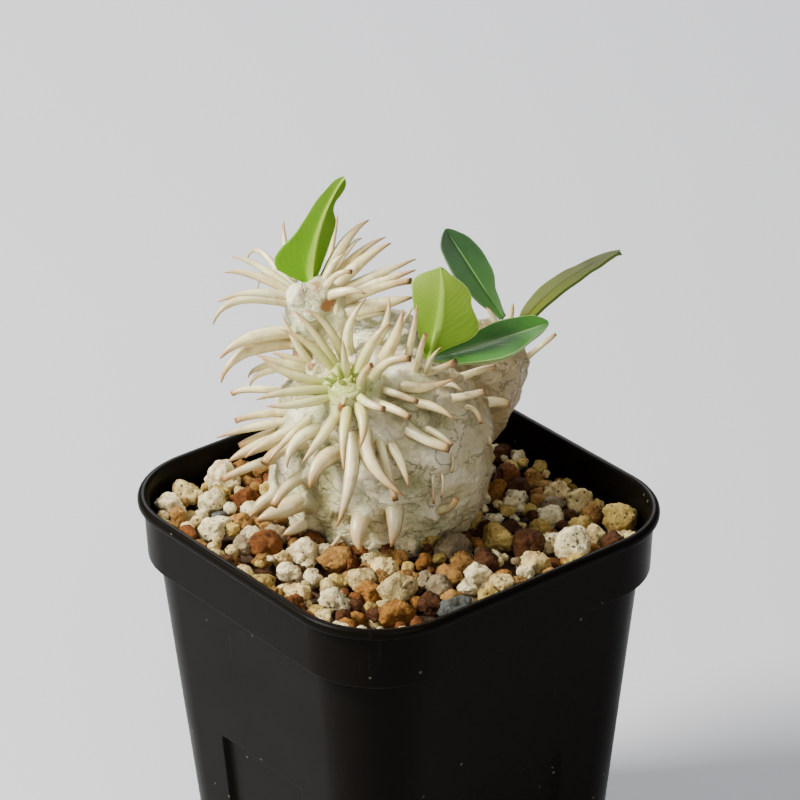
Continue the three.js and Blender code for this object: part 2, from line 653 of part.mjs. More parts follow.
// A point on a leaf's middle surface, relative to its foot: along from foot to tip, across from -1 to 1
function leafPoint(leaf, along, across) {
  const foot = new THREE.Vector3(...leaf.foot);
  const bend = new THREE.Vector3(...leaf.bend).sub(foot);
  const tip = new THREE.Vector3(...leaf.tip).sub(foot);
  const midrib = new THREE.QuadraticBezierCurve3(new THREE.Vector3(), bend, tip);
  const tangent = midrib.getTangent(along);
  const sideways = new THREE.Vector3(...leaf.face).cross(tangent).normalize();
  const face = new THREE.Vector3().crossVectors(tangent, sideways).normalize();
  const width = halfWidth(leaf, along, across) * Math.abs(across);
  const point = midrib.getPoint(along);
  point.addScaledVector(sideways, Math.sign(across) * width * Math.cos(leaf.fold));
  point.addScaledVector(face, width * Math.sin(leaf.fold));
  return { point, face };
}

// The outer vertices of a grid, in order round its edge
function gridRim(columns, rows) {
  const stride = columns + 1;
  const rim = [];
  for (let column = 0; column < columns; column += 1) {
    rim.push(column);
  }
  for (let row = 0; row < rows; row += 1) {
    rim.push(row * stride + columns);
  }
  for (let column = columns; column > 0; column -= 1) {
    rim.push(rows * stride + column);
  }
  for (let row = rows; row > 0; row -= 1) {
    rim.push(row * stride);
  }
  return rim;
}

// Two like grids, one for each face of the blade, closed by a strip round the edge. Their rows lie closer
// together towards the tip.
function leafGeometry(leaf) {
  const sheet = new THREE.PlaneGeometry(2, 1, LEAF_COLUMNS, LEAF_ROWS);
  const grid = sheet.attributes.position;
  const places = [];
  for (const faceSide of [1, -1]) {
    for (let vertex = 0; vertex < grid.count; vertex += 1) {
      const along = 1 - (0.5 - grid.getY(vertex)) ** TIP_CROWDING;
      const { point, face } = leafPoint(leaf, along, -grid.getX(vertex));
      point.addScaledVector(face, (faceSide * LEAF_THICKNESS) / 2);
      places.push(...point.toArray());
    }
  }
  const upper = Array.from(sheet.index.array);
  const under = upper.map((vertex) => vertex + grid.count).reverse();
  const rim = gridRim(LEAF_COLUMNS, LEAF_ROWS);
  const edge = rim.flatMap((vertex, step) => {
    const next = rim[(step + 1) % rim.length];
    return [vertex, next, vertex + grid.count, next, next + grid.count, vertex + grid.count];
  });
  const geometry = new THREE.BufferGeometry();
  geometry.setAttribute('position', new THREE.Float32BufferAttribute(places, 3));
  geometry.setIndex([...upper, ...under, ...edge]);
  geometry.computeVertexNormals();
  return geometry;
}

function leafMesh(leaf) {
  const mesh = namedMesh(leaf.name, leafGeometry(leaf), finish(leaf.color, 0.4));
  mesh.position.set(...leaf.foot);
  return mesh;
}

// Points over all leaves, in the part's frame, that spines have to stay clear of
function leafSamples() {
  const samples = [];
  for (const leaf of LEAVES) {
    for (let row = 0; row <= SAMPLE_ROWS; row += 1) {
      for (let column = -SAMPLE_COLUMNS; column <= SAMPLE_COLUMNS; column += 1) {
        const { point } = leafPoint(leaf, row / SAMPLE_ROWS, column / SAMPLE_COLUMNS);
        samples.push(point.add(new THREE.Vector3(...leaf.foot)));
      }
    }
  }
  return samples;
}

function clearOfLeaves(line, samples) {
  for (let step = 1; step <= CLEAR_STEPS; step += 1) {
    const along = step / CLEAR_STEPS;
    const point = line.curve.getPoint(along);
    const room = spineRadius(line, along, 0) + LEAF_THICKNESS / 2 + LEAF_CLEARANCE;
    if (samples.some((sample) => sample.distanceTo(point) < room)) {
      return false;
    }
  }
  return true;
}

// Gravel: a bed that fills the pot, with stones sunk into its top

// Larger stones that catch the eye: x, y, height of the middle, radius
const LARGE_STONES = [
  [-38.4, -18.4, 94.9, 4.2], [-37.6, -27.6, 94.6, 3.4], [-31.1, -26.2, 94.6, 3.7], [-21.8, -31.8, 94, 3.5],
  [-28.1, -19.2, 93.6, 3.2], [-9.7, -27.8, 93.8, 3.6], [-2.7, -23.4, 93.8, 3.5], [3.8, -19.5, 93.4, 3.7],
  [9.9, -34.4, 93.8, 3.2], [17.1, -30.1, 93.8, 3.4], [13.8, -20.4, 93.6, 3.2], [22.7, -18.4, 94.4, 4.1],
  [28.7, -23.5, 93.8, 3.5], [30.5, -15.8, 93.6, 3], [15.3, 2.5, 93.4, 3.7], [23.4, 4.4, 93.2, 3.3],
  [17.6, 12.5, 93.4, 4], [23.6, 15.7, 92.8, 3.7], [30.6, 22.9, 93.4, 4.1], [27.8, 38, 93.2, 3.8],
];
const STONE_EDGE = COLLAR_HALF - WALL - GAP;

function stoneTop(x, y) {
  return STONE_LEVEL - STONE_SLOPE * (x + y);
}

// Keeps a stone's middle far enough inside the rounded square of the pot's wall
function insidePot(x, y, radius) {
  const limit = STONE_EDGE - STONE_CLEARANCE - radius;
  const corner = Math.max(1, RIM_CORNER - (RIM_HALF - limit));
  const beyondX = Math.max(0, Math.abs(x) - (limit - corner));
  const beyondY = Math.max(0, Math.abs(y) - (limit - corner));
  const beyond = Math.hypot(beyondX, beyondY);
  const pull = beyond > corner ? corner / beyond : 1;
  return [
    Math.sign(x) * (Math.min(Math.abs(x), limit - corner) + beyondX * pull),
    Math.sign(y) * (Math.min(Math.abs(y), limit - corner) + beyondY * pull),
  ];
}

// Whether a spine's tip stays above the rim or well inside the wall
function clearOfPot(line) {
  const tip = line.curve.getPoint(1);
  const [x, y] = insidePot(tip.x, tip.y, POT_ROOM);
  return tip.z > POT_HEIGHT + POT_ROOM || Math.hypot(x - tip.x, y - tip.y) < GAP;
}

function stonePlaces() {
  const stones = LARGE_STONES.map(([wantedX, wantedY, z, radius]) => {
    const [x, y] = insidePot(wantedX, wantedY, radius);
    return { x, y, z, radius };
  });
  const rowStep = STONE_SPACING * Math.sqrt(0.75);
  const reach = Math.ceil(RIM_HALF / rowStep);
  let key = 0;
  for (let row = -reach; row <= reach; row += 1) {
    for (let column = -reach; column <= reach; column += 1) {
      key += 1;
      const radius = STONE_RADIUS * spread(key, 11, ...STONE_SIZES);
      const shiftX = spread(key, 12, -STONE_JITTER, STONE_JITTER);
      const shiftY = spread(key, 13, -STONE_JITTER, STONE_JITTER);
      const wantedX = (column + (row % 2) / 2) * STONE_SPACING + shiftX;
      const wantedY = row * rowStep + shiftY;
      const [x, y] = insidePot(wantedX, wantedY, radius);
      const moved = Math.hypot(x - wantedX, y - wantedY);
      const crowded = stones.some((other) => {
        const apart = Math.hypot(other.x - x, other.y - y);
        return apart < STONE_CROWDING * (other.radius + radius);
      });
      if (moved < STONE_LARGEST_PULL && !crowded) {
        stones.push({ x, y, z: stoneTop(x, y) + spread(key, 14, ...STONE_LIFTS), radius });
      }
    }
  }
  return stones;
}

function stoneGeometry(stone, index) {
  const geometry = new THREE.IcosahedronGeometry(stone.radius, 0);
  geometry.scale(1, spread(index, 16, ...STONE_NARROWNESS), spread(index, 15, ...STONE_FLATNESS));
  geometry.rotateZ(spread(index, 17, 0, Math.PI));
  geometry.rotateX(spread(index, 18, -STONE_TILT, STONE_TILT));
  geometry.translate(stone.x, stone.y, stone.z);
  return geometry;
}

function bedGeometry() {
  const inset = WALL + GAP;
  const floor = FLOOR + GAP;
  const step = STEP_Z + STEP_LIFT + GAP;
  const collarFoot = COLLAR_HALF - COLLAR_TAPER;
  return sweptSection([
    { half: 0, z: floor },
    wallRow(floor, inset, PANEL_DEPTH),
    wallRow(PANEL_TOP + PANEL_SLOPE, inset, PANEL_DEPTH),
    wallRow(PANEL_TOP + 2 * PANEL_SLOPE, inset, 0),
    wallRow(step - STEP_RISE, inset, 0),
    collarRow(step + STEP_RISE, collarFoot, inset),
    { ...collarRow(STONE_LEVEL, collarFoot, inset), sloped: true },
    { half: 0, z: STONE_LEVEL - STONE_BED_DEPTH },
  ]);
}

// Bed and stones, with room cut out for the body's buried foot and for spines that hang down to them
function gravelMesh(lines) {
  const underBody = (stone) => BODY_MIDDLE.distanceTo(new THREE.Vector2(stone.x, stone.y)) < BODY_REACH;
  const stones = stonePlaces().filter((stone) => !underBody(stone)).map(stoneGeometry);
  const low = lines.filter((line) => line.curve.getPoint(1).z < LOW_TIP);
  const spineRoom = unionOf(low.map((line) => spineGeometry(line, SPINE_ROOM)));
  const solid = unionOf([bedGeometry(), ...stones]).subtract(trunkSolid(TRUNK_ROOM)).subtract(spineRoom);
  return namedMesh('gravel', geometryFrom(largestPiece(solid)), finish(0xb9a483, 0.95));
}

// The whole potted plant

const trunk = trunkSolid();
const trunkMesh = new THREE.Mesh(geometryFrom(trunk));
const samples = leafSamples();
const seenLines = SEEN_SPINES.map((spine) => seenLine(spine, trunkMesh));
const hiddenLines = spinePairs(trunkMesh)
  .flatMap((pair) => [spiralLine(pair, 0), spiralLine(pair, 1)])
  .filter((line) => isHidden(line.curve.getPoint(1), trunkMesh));
const spineLines = [...seenLines, ...hiddenLines]
  .filter((line) => clearOfLeaves(line, samples) && clearOfPot(line));
const spines = unionOf(spineLines.map((line) => spineGeometry(line)));
const caudex = largestPiece(trunk.add(spines));

const plant = new THREE.Group();
plant.add(namedMesh('caudex', geometryFrom(caudex), finish(0xcfc8b4, 0.75)));
for (const leaf of LEAVES) {
  plant.add(leafMesh(leaf));
}

const pottedPlant = new THREE.Group();
pottedPlant.add(potMesh());
pottedPlant.add(gravelMesh(spineLines));
pottedPlant.add(plant);

export default pottedPlant;
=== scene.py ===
"""A spiny, many-headed pachypodium in a square nursery pot of pumice gravel.

Shapes are laid out in millimetres by the same rules as the part's solids, and made in metres.
"""

import math

import bmesh
import bpy
from mathutils import Matrix, Quaternion, Vector, noise
from mathutils.bvhtree import BVHTree
from mathutils.kdtree import KDTree


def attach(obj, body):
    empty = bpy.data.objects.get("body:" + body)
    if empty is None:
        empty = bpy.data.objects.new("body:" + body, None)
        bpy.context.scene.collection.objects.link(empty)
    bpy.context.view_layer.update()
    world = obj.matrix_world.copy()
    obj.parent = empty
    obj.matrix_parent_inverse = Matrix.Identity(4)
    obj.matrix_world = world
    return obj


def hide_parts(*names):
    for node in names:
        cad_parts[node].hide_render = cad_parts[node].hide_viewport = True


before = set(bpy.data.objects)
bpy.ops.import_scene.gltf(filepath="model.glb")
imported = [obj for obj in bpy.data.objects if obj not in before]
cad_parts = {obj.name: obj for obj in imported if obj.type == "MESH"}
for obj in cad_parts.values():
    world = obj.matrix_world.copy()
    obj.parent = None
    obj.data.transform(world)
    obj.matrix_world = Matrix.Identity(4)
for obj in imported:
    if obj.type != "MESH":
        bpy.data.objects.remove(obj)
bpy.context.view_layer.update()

MM = 0.001
UP = Vector((0, 0, 1))
GOLDEN_ANGLE = math.radians(137.508)
NOISE_SEED = 5

# The reference view: every point below that is given as (across, down) is where it shows in this view
FRAME_WIDTH = 800
VIEW_FROM = Vector((604.42, -478.17, 530.89))
VIEW_AHEAD = Vector((-0.69265, 0.54905, -0.46774))
VIEW_RIGHT = Vector((0.62523, 0.78038, -0.00984))
VIEW_UP = Vector((-0.35961, 0.29926, 0.88381))
VIEW_LENGTH = 4200
SENSOR_WIDTH = 36
FARTHEST_SEEN = 20

# Light and floor: places and sizes in metres, power in watts
SKY_COLOR = (0.84, 0.92, 1.0)
SKY_STRENGTH = 0.19
MIDDLE = (0, 0, 0.1)
LIGHTS = {
    "window": {"place": (-0.36, -0.66, 0.8), "target": MIDDLE, "size": 0.36, "power": 33,
               "color": (1.0, 0.98, 0.92)},
    "fill": {"place": (1.1, -0.25, 0.75), "target": MIDDLE, "size": 0.9, "power": 6.5,
             "color": (1.0, 0.98, 0.95)},
    "back": {"place": (-0.85, 0.55, 0.85), "target": (-0.25, 0.2, 0), "size": 0.6, "power": 15,
             "color": (0.97, 0.98, 1.0)},
}
FLOOR_HALF = 6
FLOOR_COLORS = ((0.48, 0.49, 0.51), (0.51, 0.52, 0.54))

# Colours of the pot, the bark, the spines and the young leaf tips. Painted shade: the bark's colour for low
# relief, its crease colour over the brown of its cracks, and the spines' rim colour where they turn away
# from the view
POT_COLORS = {
    "black": (0.0038, 0.0028, 0.0018), "film": (0.0062, 0.0048, 0.0034), "scuff": (0.05, 0.042, 0.035),
    "dust": (0.2, 0.17, 0.13),
}
BARK_COLORS = {
    "light": (0.84, 0.78, 0.52), "dull": (0.5, 0.44, 0.23), "mossy": (0.42, 0.47, 0.23),
    "hollow_shade_green": (0.31, 0.28, 0.12), "proud": (0.93, 0.86, 0.68), "cushion": (0.88, 0.8, 0.6),
    "old": (0.38, 0.27, 0.12), "crown": (0.42, 0.47, 0.09), "scar": (0.3, 0.12, 0.03),
    "crease": (0.26, 0.23, 0.09),
}
SPINE_COLORS = {
    "ivory": (1.0, 0.94, 0.56), "tan": (0.84, 0.7, 0.34), "weathered": (0.56, 0.48, 0.28),
    "foot": (0.58, 0.53, 0.3), "stain": (0.56, 0.39, 0.18), "young": (0.46, 0.5, 0.09),
    "rim": (0.36, 0.27, 0.11), "point": (0.4, 0.2, 0.06), "stump": (0.17, 0.09, 0.045),
}
BUD_COLORS = ((0.25, 0.36, 0.03), (0.5, 0.55, 0.13))

# Leaf finishes: colours of the blade and its patches, of the part near the stalk, of midrib and edge; width
# of the midrib, roughness, specular level, strength of the side veins and of the light that shines through
LEAF_FINISHES = {
    "glossy_dark_leaf": {
        "blade": (0.042, 0.16, 0.016), "deep": (0.028, 0.115, 0.013), "base": (0.035, 0.15, 0.006),
        "midrib": (0.3, 0.45, 0.12), "edge": (0.3, 0.45, 0.14),
        "rib": 0.05, "rough": 0.38, "shine": 0.5, "vein_show": 0.035, "glow": 0.05,
    },
    "dark_leaf": {
        "blade": (0.016, 0.07, 0.012), "deep": (0.01, 0.045, 0.008), "base": (0.03, 0.11, 0.008),
        "midrib": (0.12, 0.24, 0.06), "edge": (0.06, 0.14, 0.03),
        "rib": 0.06, "rough": 0.4, "shine": 0.5, "vein_show": 0.03, "glow": 0.03,
    },
    "bright_leaf_underside": {
        "blade": (0.1, 0.21, 0.008), "deep": (0.14, 0.27, 0.012), "base": (0.12, 0.31, 0.001),
        "midrib": (0.33, 0.5, 0.05), "edge": (0.15, 0.3, 0.01),
        "rib": 0.1, "rough": 0.55, "shine": 0.15, "vein_show": 0.1, "glow": 0.15,
    },
    "light_leaf_underside": {
        "blade": (0.14, 0.24, 0.012), "deep": (0.165, 0.255, 0.016), "base": (0.12, 0.24, 0.002),
        "midrib": (0.27, 0.43, 0.045), "edge": (0.26, 0.4, 0.045),
        "rib": 0.09, "rough": 0.5, "shine": 0.25, "vein_show": 0.28, "glow": 0.15,
    },
    "olive_leaf": {
        "blade": (0.05, 0.055, 0.018), "deep": (0.038, 0.043, 0.014), "base": (0.09, 0.11, 0.006),
        "midrib": (0.1, 0.11, 0.03), "edge": (0.12, 0.17, 0.03),
        "rib": 0.06, "rough": 0.5, "shine": 0.15, "vein_show": 0.05, "glow": 0.03,
    },
}

# Driving dimensions of the pot
POT_WIDTH = 90
POT_HEIGHT = 100
WALL = 1.2
FLOOR = 1.6
GAP = 0.3
RIM_HALF = POT_WIDTH / 2
RIM_CORNER = 20.4
LIP_PROUD = 1.3
COLLAR_HALF = RIM_HALF - LIP_PROUD
COLLAR_DEPTH = 15
COLLAR_TAPER = 0.5
COLLAR_FOOT = COLLAR_HALF - COLLAR_TAPER
STEP_IN = 2.9
STEP_Z = POT_HEIGHT - COLLAR_DEPTH
STEP_RISE = 0.8
STEP_LIFT = 0.3
SHOULDER_HALF = COLLAR_HALF - STEP_IN
SHOULDER_CORNER = RIM_CORNER - 4
BASE_HALF = 33
BASE_CORNER = 12
BASE_EDGE = 0.8
PANEL_HALF = 13
PANEL_TOP = 48.5
PANEL_FOOT = 8
PANEL_DEPTH = 1.2
PANEL_SLOPE = 0.9
CORNER_STEPS = 14
LIP_STEPS = 3
DRAIN_RADIUS = 3.2
DRAIN_COUNT = 8
DRAIN_SIDES = 20
DRAIN_REACH = (17, 26)
LIP_PROFILE = [
    (2.6, LIP_PROUD), (2.1, 0.2), (1.1, 0), (0.3, 0.4), (0, 1.1), (0.5, 2), (2.6, LIP_PROUD + WALL),
]

# Driving dimensions of the gravel
STONE_LEVEL = 92.4
STONE_SLOPE = 0.022
BED_DEPTH = 2.6
BODY_MIDDLE = Vector((-11.7, 3.9))
BODY_ROOM = 20.5

# Stones that catch the eye: x, y, height of the middle, radius and tint
LARGE_STONES = [
    (-38.4, -18.4, 94.9, 4.2, "white"), (-37.6, -27.6, 94.6, 3.4, "cream"),
    (-31.1, -26.2, 94.6, 3.7, "white"), (-21.8, -31.8, 94, 3.5, "white"),
    (-28.1, -19.2, 93.6, 3.2, "clay"), (-9.7, -27.8, 93.8, 3.6, "clay"),
    (-2.7, -23.4, 93.8, 3.5, "white"), (3.8, -19.5, 93.4, 3.7, "tan"), (9.9, -34.4, 93.8, 3.2, "cream"),
    (17.1, -30.1, 93.8, 3.4, "white"), (13.8, -20.4, 93.6, 3.2, "cream"), (22.7, -18.4, 94.4, 4.1, "cream"),
    (28.7, -23.5, 93.8, 3.5, "orange"), (30.5, -15.8, 93.6, 3, "brown"), (15.3, 2.5, 93.4, 3.7, "grey"),
    (23.4, 4.4, 93.2, 3.3, "brown"), (17.6, 12.5, 93.4, 4, "yellow"), (23.6, 15.7, 92.8, 3.7, "brown"),
    (30.6, 22.9, 93.4, 4.1, "white"), (27.8, 38, 93.2, 3.8, "yellow"),
]

# Tints of the stones, the kinds that are pumice, and the share of each among the stones placed by rule
TINTS = {
    "white": (0.78, 0.69, 0.43), "cream": (0.66, 0.52, 0.24), "yellow": (0.52, 0.38, 0.11),
    "tan": (0.32, 0.17, 0.045), "orange": (0.3, 0.135, 0.026), "clay": (0.16, 0.055, 0.012),
    "brown": (0.075, 0.027, 0.008), "grey": (0.28, 0.22, 0.13), "slate": (0.09, 0.1, 0.1),
}
STONE_SHADES = ((0.5, 0.42, 0.32), (1.15, 1.13, 1.08))
STONE_PORE = (0.1, 0.06, 0.03)
STONE_GRIT = (0.05, 0.04, 0.035)
SOIL_COLORS = ((0.04, 0.022, 0.01), (0.1, 0.055, 0.025))
PUMICE = ("white", "cream", "yellow", "grey")
TINT_SHARES = [
    ("white", 0.2), ("cream", 0.2), ("yellow", 0.12), ("tan", 0.14), ("orange", 0.07), ("clay", 0.11),
    ("brown", 0.11), ("grey", 0.03), ("slate", 0.02),
]

# Stones placed by rule: layers with height over the level, spacing and size; pairs of values are the ends
# of a draw
STONE_SPACING = 5.2
STONE_RADIUS = 2.9
STONE_LAYERS = ((0.3, STONE_SPACING, 1), (-2.6, 5.6, 1.05), (0.4, 3.6, 0.55))
STONE_EDGE = COLLAR_HALF - WALL - GAP
STONE_CLEARANCE = 0.6
STONE_SIZES = (0.62, 1.2)
STONE_SHIFT = 1.2
STONE_LIFTS = (-0.7, 0.9)
LONGEST_PULL = 4
LEAST_SPACING = 0.7
BURIED_DEPTH = 1.2
FINE_RADIUS = 2

# Shape of a stone of radius 1: cut planes, then slow lumps, crumbs, finer grit and pits
STONE_FACETS = 11
FACET_DEPTHS = (0.62, 0.92)
LEAST_FACING = 0.3
STONE_SWELL = 1.08
LUMP_PITCH = 1.4
STONE_LUMPS = 0.22
CRUMB_PITCH = 3.4
GRIT_PITCH = 8
GRIT_SHARE = 0.6
PIT_PITCH = 5
CRUMB_HEIGHTS = (0.08, 0.17)
PIT_LEVEL = 0.2
PIT_DEPTH = 0.45
STONE_FLATNESS = (0.75, 0.95)
STONE_NARROWNESS = (0.8, 1)
STONE_TILT = 0.5
TINT_LIGHTNESS = (0.8, 1.1)

# Driving dimensions of the spines: reaches are shares of the length, and widths of the radius
SPINE_LENGTH = 18
SPINE_RADIUS = 1.3
SPINE_SIDES = 8
SPINE_ROWS = 9
ROW_CROWDING = 0.85
SPINE_SINK = 1.6
SPINE_FLARE = 0.35
FLARE_REACH = 0.22
SPINE_SLIMNESS = 0.3
SPINE_RIPPLE = 0.1
RIPPLE_SIZE = 2.2
BELLY_AT = 0.4
BELLY_WIDTH = 1.3
POINT_TAPER = 1.2
TAPER_POWER = 2.2
BROKEN_SHARE = 0.16
BROKEN_REACH = 0.72
BROKEN_TAPER = 0.45
BROKEN_RIM = 0.3
BROKEN_SINK = 0.06
PAIR_SPLIT = 1.5
POT_ROOM = 2

# Driving dimensions of the leaves, and how closely a spine is tested for touching one
LEAF_THICKNESS = 0.8
LEAST_TIP = 0.35
TIP_CROWDING = 1.6
LEAF_CLEARANCE = 0.45
LEAF_COLUMNS = 16
LEAF_ROWS = 34
RIB_WIDTH = 0.09
RIB_DEPTH = 0.25
RIB_FADE = 0.7
LEAF_RIPPLE = 0.35
LEAF_RIPPLE_SIZE = 5
SAMPLE_ROWS = 16
SAMPLE_COLUMNS = 3
CLEAR_STEPS = 8

# Relief of the bark, in mm: lumps and knots stand out, and two nets of grooves, longest sideways, run in
BARK_VOXEL = 0.42
BARK_BLENDING = 14
LUMP_SIZE = 9
LUMP_HEIGHT = 1.3
KNOT_SIZE = 4.2
KNOT_HEIGHT = 0.8
WARP_SIZE = 4.5
FOLDS = {"width": 3.6, "height": 1.9, "warp": 2, "sharpness": 3.2, "depth": 0.28}
CREASES = {"width": 2.2, "height": 1.2, "warp": 3.2, "sharpness": 4, "depth": 0.12}
BARK_LIFT = 0.15
RELIEF_SPAN = 3
CUSHION_SMOOTHING = 0.5

# Lobes of the woody body: foot and top of each axis, and radii at even steps from foot to top
LOBES = [
    ((-12, 5.4, 58), (-11.2, 4.4, 126), (3, 8, 12, 15.5, 18.8, 21.6, 23.4, 24, 23, 20.4, 15)),
    ((-15, 6, 110), (-17.5, 9.5, 131), (15, 17.5, 18, 15.8, 9.5)),
    ((-9, -0.5, 108), (-4.2, -10.5, 128.6), (11, 13.2, 13.4, 11.8, 9, 4.6)),
    ((-17, -4, 114), (-24.2, -3.4, 140), (11, 9.4, 7.4, 6.3, 6.1, 5.9, 4.6)),
    ((-6, 6, 112), (0, 9, 127.2), (9, 9, 8, 6.2, 2.8)),
    ((-14, 18, 97), (-9.7, 37.8, 123.4), (9, 9.4, 9.8, 10.6, 11, 9.6, 4)),
]
LOBE_SIDES = 36
SIGHT_SIDES = 18
LOBE_CAP = 0.4
TUBERCLE_REACH = 3.4
TUBERCLE_RISE = 1.5
TUBERCLE_POWER = 1.5
TUBERCLE_LIMIT = 2.3

# Old scars and stains on the bark: where they show in the reference view, reach in mm and strength
SCARS = [
    ((325, 306), 1.05, 1), ((315, 293), 0.7, 0.8), ((292, 312), 0.8, 0.6), ((305, 298), 0.6, 0.4),
    ((343, 407), 0.8, 1), ((296, 352), 1.3, 0.8), ((313, 366), 0.9, 0.9),
]
SCAR_GRAIN = 1.1
SCAR_RAGGEDNESS = 0.35
SCAR_EDGE = 1.25
SCAR_SHARPNESS = 3

# Spines that the reference view shows: where foot, middle and tip show, how far the tip stands towards the
# view from the foot in mm, width in the view, and whether the end has broken off
SEEN_SPINES = [
    # Front head, upper side
    (316, 371, 298, 346, 282, 313, 3, 8, False),
    (338, 374, 312, 347, 280, 329, 4, 8, False),
    (343, 372, 318, 338, 294, 310, 4, 8, False),
    (346, 367, 330, 330, 304, 309, 4, 8, False),
    (338, 338, 336, 313, 338, 289, 2, 7, False),
    (350, 384, 345, 362, 343, 340, 6, 8, False),
    (354, 360, 348, 332, 366, 298, 3, 10, False),
    (358, 376, 370, 346, 391, 322, 4, 10, False),
    (368, 350, 385, 325, 389, 297, 2, 8, False),
    (375, 363, 393, 342, 403, 309, 4, 12, False),
    (394, 342, 402, 324, 416, 304, 1, 5, False),
    # Front head, right side
    (374, 384, 385, 364, 411, 359, 6, 12, True),
    (360, 390, 363, 375, 372, 365, 7, 11, True),
    (396, 376, 420, 388, 456, 378, 4, 11, False),
    (437, 381, 450, 384, 463, 392, 3, 6, False),
    (382, 382, 396, 394, 418, 402, 5, 10, True),
    (412, 401, 434, 407, 455, 420, 3, 9, False),
    (355, 386, 366, 402, 385, 409, 7, 12, True),
    (376, 402, 393, 409, 410, 418, 5, 12, True),
    (412, 364, 425, 373, 457, 361, 4, 12, True),
    (446, 398, 466, 396, 485, 391, 1, 11, True),
    (458, 378, 478, 371, 496, 367, 0, 10, True),
    (482, 402, 495, 402, 509, 405, 0, 14, True),
    (484, 427, 488, 437, 489, 446, 0, 7, True),
    (403, 424, 425, 439, 450, 449, 4, 16, True),
    (424, 424, 440, 436, 452, 446, 3, 9, True),
    (462, 406, 473, 409, 481, 424, 2, 7, True),
    # Front head, lower side
    (346, 388, 345, 397, 343, 406, 4, 8, True),
    (353, 394, 363, 420, 360, 448, 6, 11, False),
    (349, 398, 344, 432, 344, 472, 6, 10, False),
    (351, 425, 351, 474, 337, 527, 5, 14, False),
    (368, 420, 370, 460, 404, 496, 6, 14, False),
    (379, 430, 386, 465, 396, 501, 4, 11, True),
    (387, 438, 400, 460, 409, 488, 4, 10, False),
    (394, 502, 395, 522, 391, 547, 3, 16, False),
    (432, 515, 447, 508, 457, 498, 5, 12, True),
    (366, 512, 358, 530, 361, 552, 3, 17, False),
    (341, 457, 320, 463, 310, 488, 5, 17, False),
    (306, 475, 288, 486, 273, 507, 4, 15, True),
    (306, 502, 280, 510, 256, 521, 3, 17, False),
    (278, 492, 262, 504, 251, 517, 0, 13, False),
    (307, 523, 295, 529, 283, 535, 2, 11, False),
    (343, 534, 337, 540, 331, 547, 2, 6, True),
    (450, 447, 453, 459, 451, 473, 2, 4, True),
    (437, 467, 433, 482, 434, 504, 2, 5, True),
    (440, 467, 443, 479, 441, 498, 2, 4, True),
    # Front head, left side
    (328, 380, 290, 374, 261, 357, 4, 9, False),
    (313, 370, 288, 364, 256, 355, 3, 9, False),
    (314, 371, 292, 359, 272, 353, 2, 8, False),
    (297, 366, 264, 372, 250, 387, 0, 7, False),
    (298, 362, 264, 366, 248, 378, -1, 7, False),
    (288, 389, 254, 389, 232, 394, -3, 10, True),
    (338, 388, 290, 392, 256, 400, 4, 9, False),
    (335, 392, 298, 404, 266, 406, 4, 9, False),
    (294, 409, 264, 414, 235, 421, 1, 11, True),
    (292, 419, 254, 427, 216, 438, 1, 9, False),
    (287, 426, 262, 436, 239, 446, 1, 11, True),
    (288, 432, 256, 447, 228, 462, 2, 13, False),
    (303, 424, 272, 439, 245, 458, 3, 9, False),
    (306, 440, 281, 450, 264, 464, 4, 17, True),
    (310, 412, 291, 435, 267, 463, 5, 8, False),
    (325, 427, 297, 441, 287, 468, 5, 12, False),
    (340, 408, 321, 438, 302, 463, 6, 10, False),
    (281, 455, 250, 467, 222, 480, 0, 12, True),
    # Left head
    (298, 334, 250, 338, 220, 359, 2, 13, False),
    (298, 345, 246, 352, 221, 383, 0, 12, False),
    (302, 294, 256, 276, 224, 273, 0, 8, False),
    (302, 294, 262, 268, 232, 257, -3, 7, False),
    (294, 296, 264, 254, 247, 260, -10, 6, False),
    (303, 293, 272, 270, 257, 293, -5, 5, False),
    (295, 292, 286, 250, 284, 220, -7, 7, False),
    (296, 300, 255, 293, 218, 302, 2, 9, False),
    (296, 306, 240, 300, 213, 325, 3, 9, False),
    (323, 290, 332, 246, 338, 214, -10, 6, False),
    (320, 287, 343, 245, 369, 220, 0, 10, False),
    (320, 288, 348, 250, 362, 239, -1, 5, False),
    (322, 288, 331, 267, 346, 254, 3, 7, False),
    (326, 287, 354, 257, 386, 237, -1, 8, False),
    (326, 290, 358, 264, 391, 243, 1, 12, False),
    (318, 293, 334, 277, 352, 272, 4, 9, True),
    (332, 297, 374, 276, 416, 259, -1, 10, False),
    (334, 301, 377, 283, 416, 270, 0, 10, False),
    (336, 306, 378, 288, 412, 281, 1, 12, True),
    (322, 300, 345, 291, 366, 294, 4, 9, False),
    (338, 316, 377, 305, 414, 297, 2, 14, False),
    (340, 321, 364, 315, 390, 312, 2, 7, False),
    # Small middle head and right rear branch
    (409, 359, 413, 333, 417, 305, 12, 7, False),
    (416, 372, 420, 352, 426, 334, 11, 8, True),
    (424, 376, 430, 361, 441, 347, 11, 5, False),
    (525, 363, 541, 346, 556, 334, 0, 7, True),
    (510, 328, 511, 315, 513, 303, 3, 6, False),
    (500, 329, 493, 317, 486, 307, 2, 6, False),
]
SEEN_BOW = 0.6
CROWN_AT = (345, 382)
CROWN_REACH = 9

# Young leaf tips on the front crown: foot, middle and tip in the reference view, rise in mm and width
BUDS = [
    (343, 388, 332, 381, 320, 378, 2.4, 5), (344, 386, 336, 378, 329, 371, 2.8, 5),
    (345, 384, 340, 374, 337, 362, 3.2, 5), (346, 380, 345, 370, 343, 358, 3.4, 5),
    (343, 391, 333, 386, 324, 385, 1.8, 4), (348, 381, 352, 372, 354, 363, 2.8, 4),
    (345, 386, 341, 382, 338, 377, 3.6, 6), (347, 386, 350, 381, 352, 375, 3.2, 5),
]

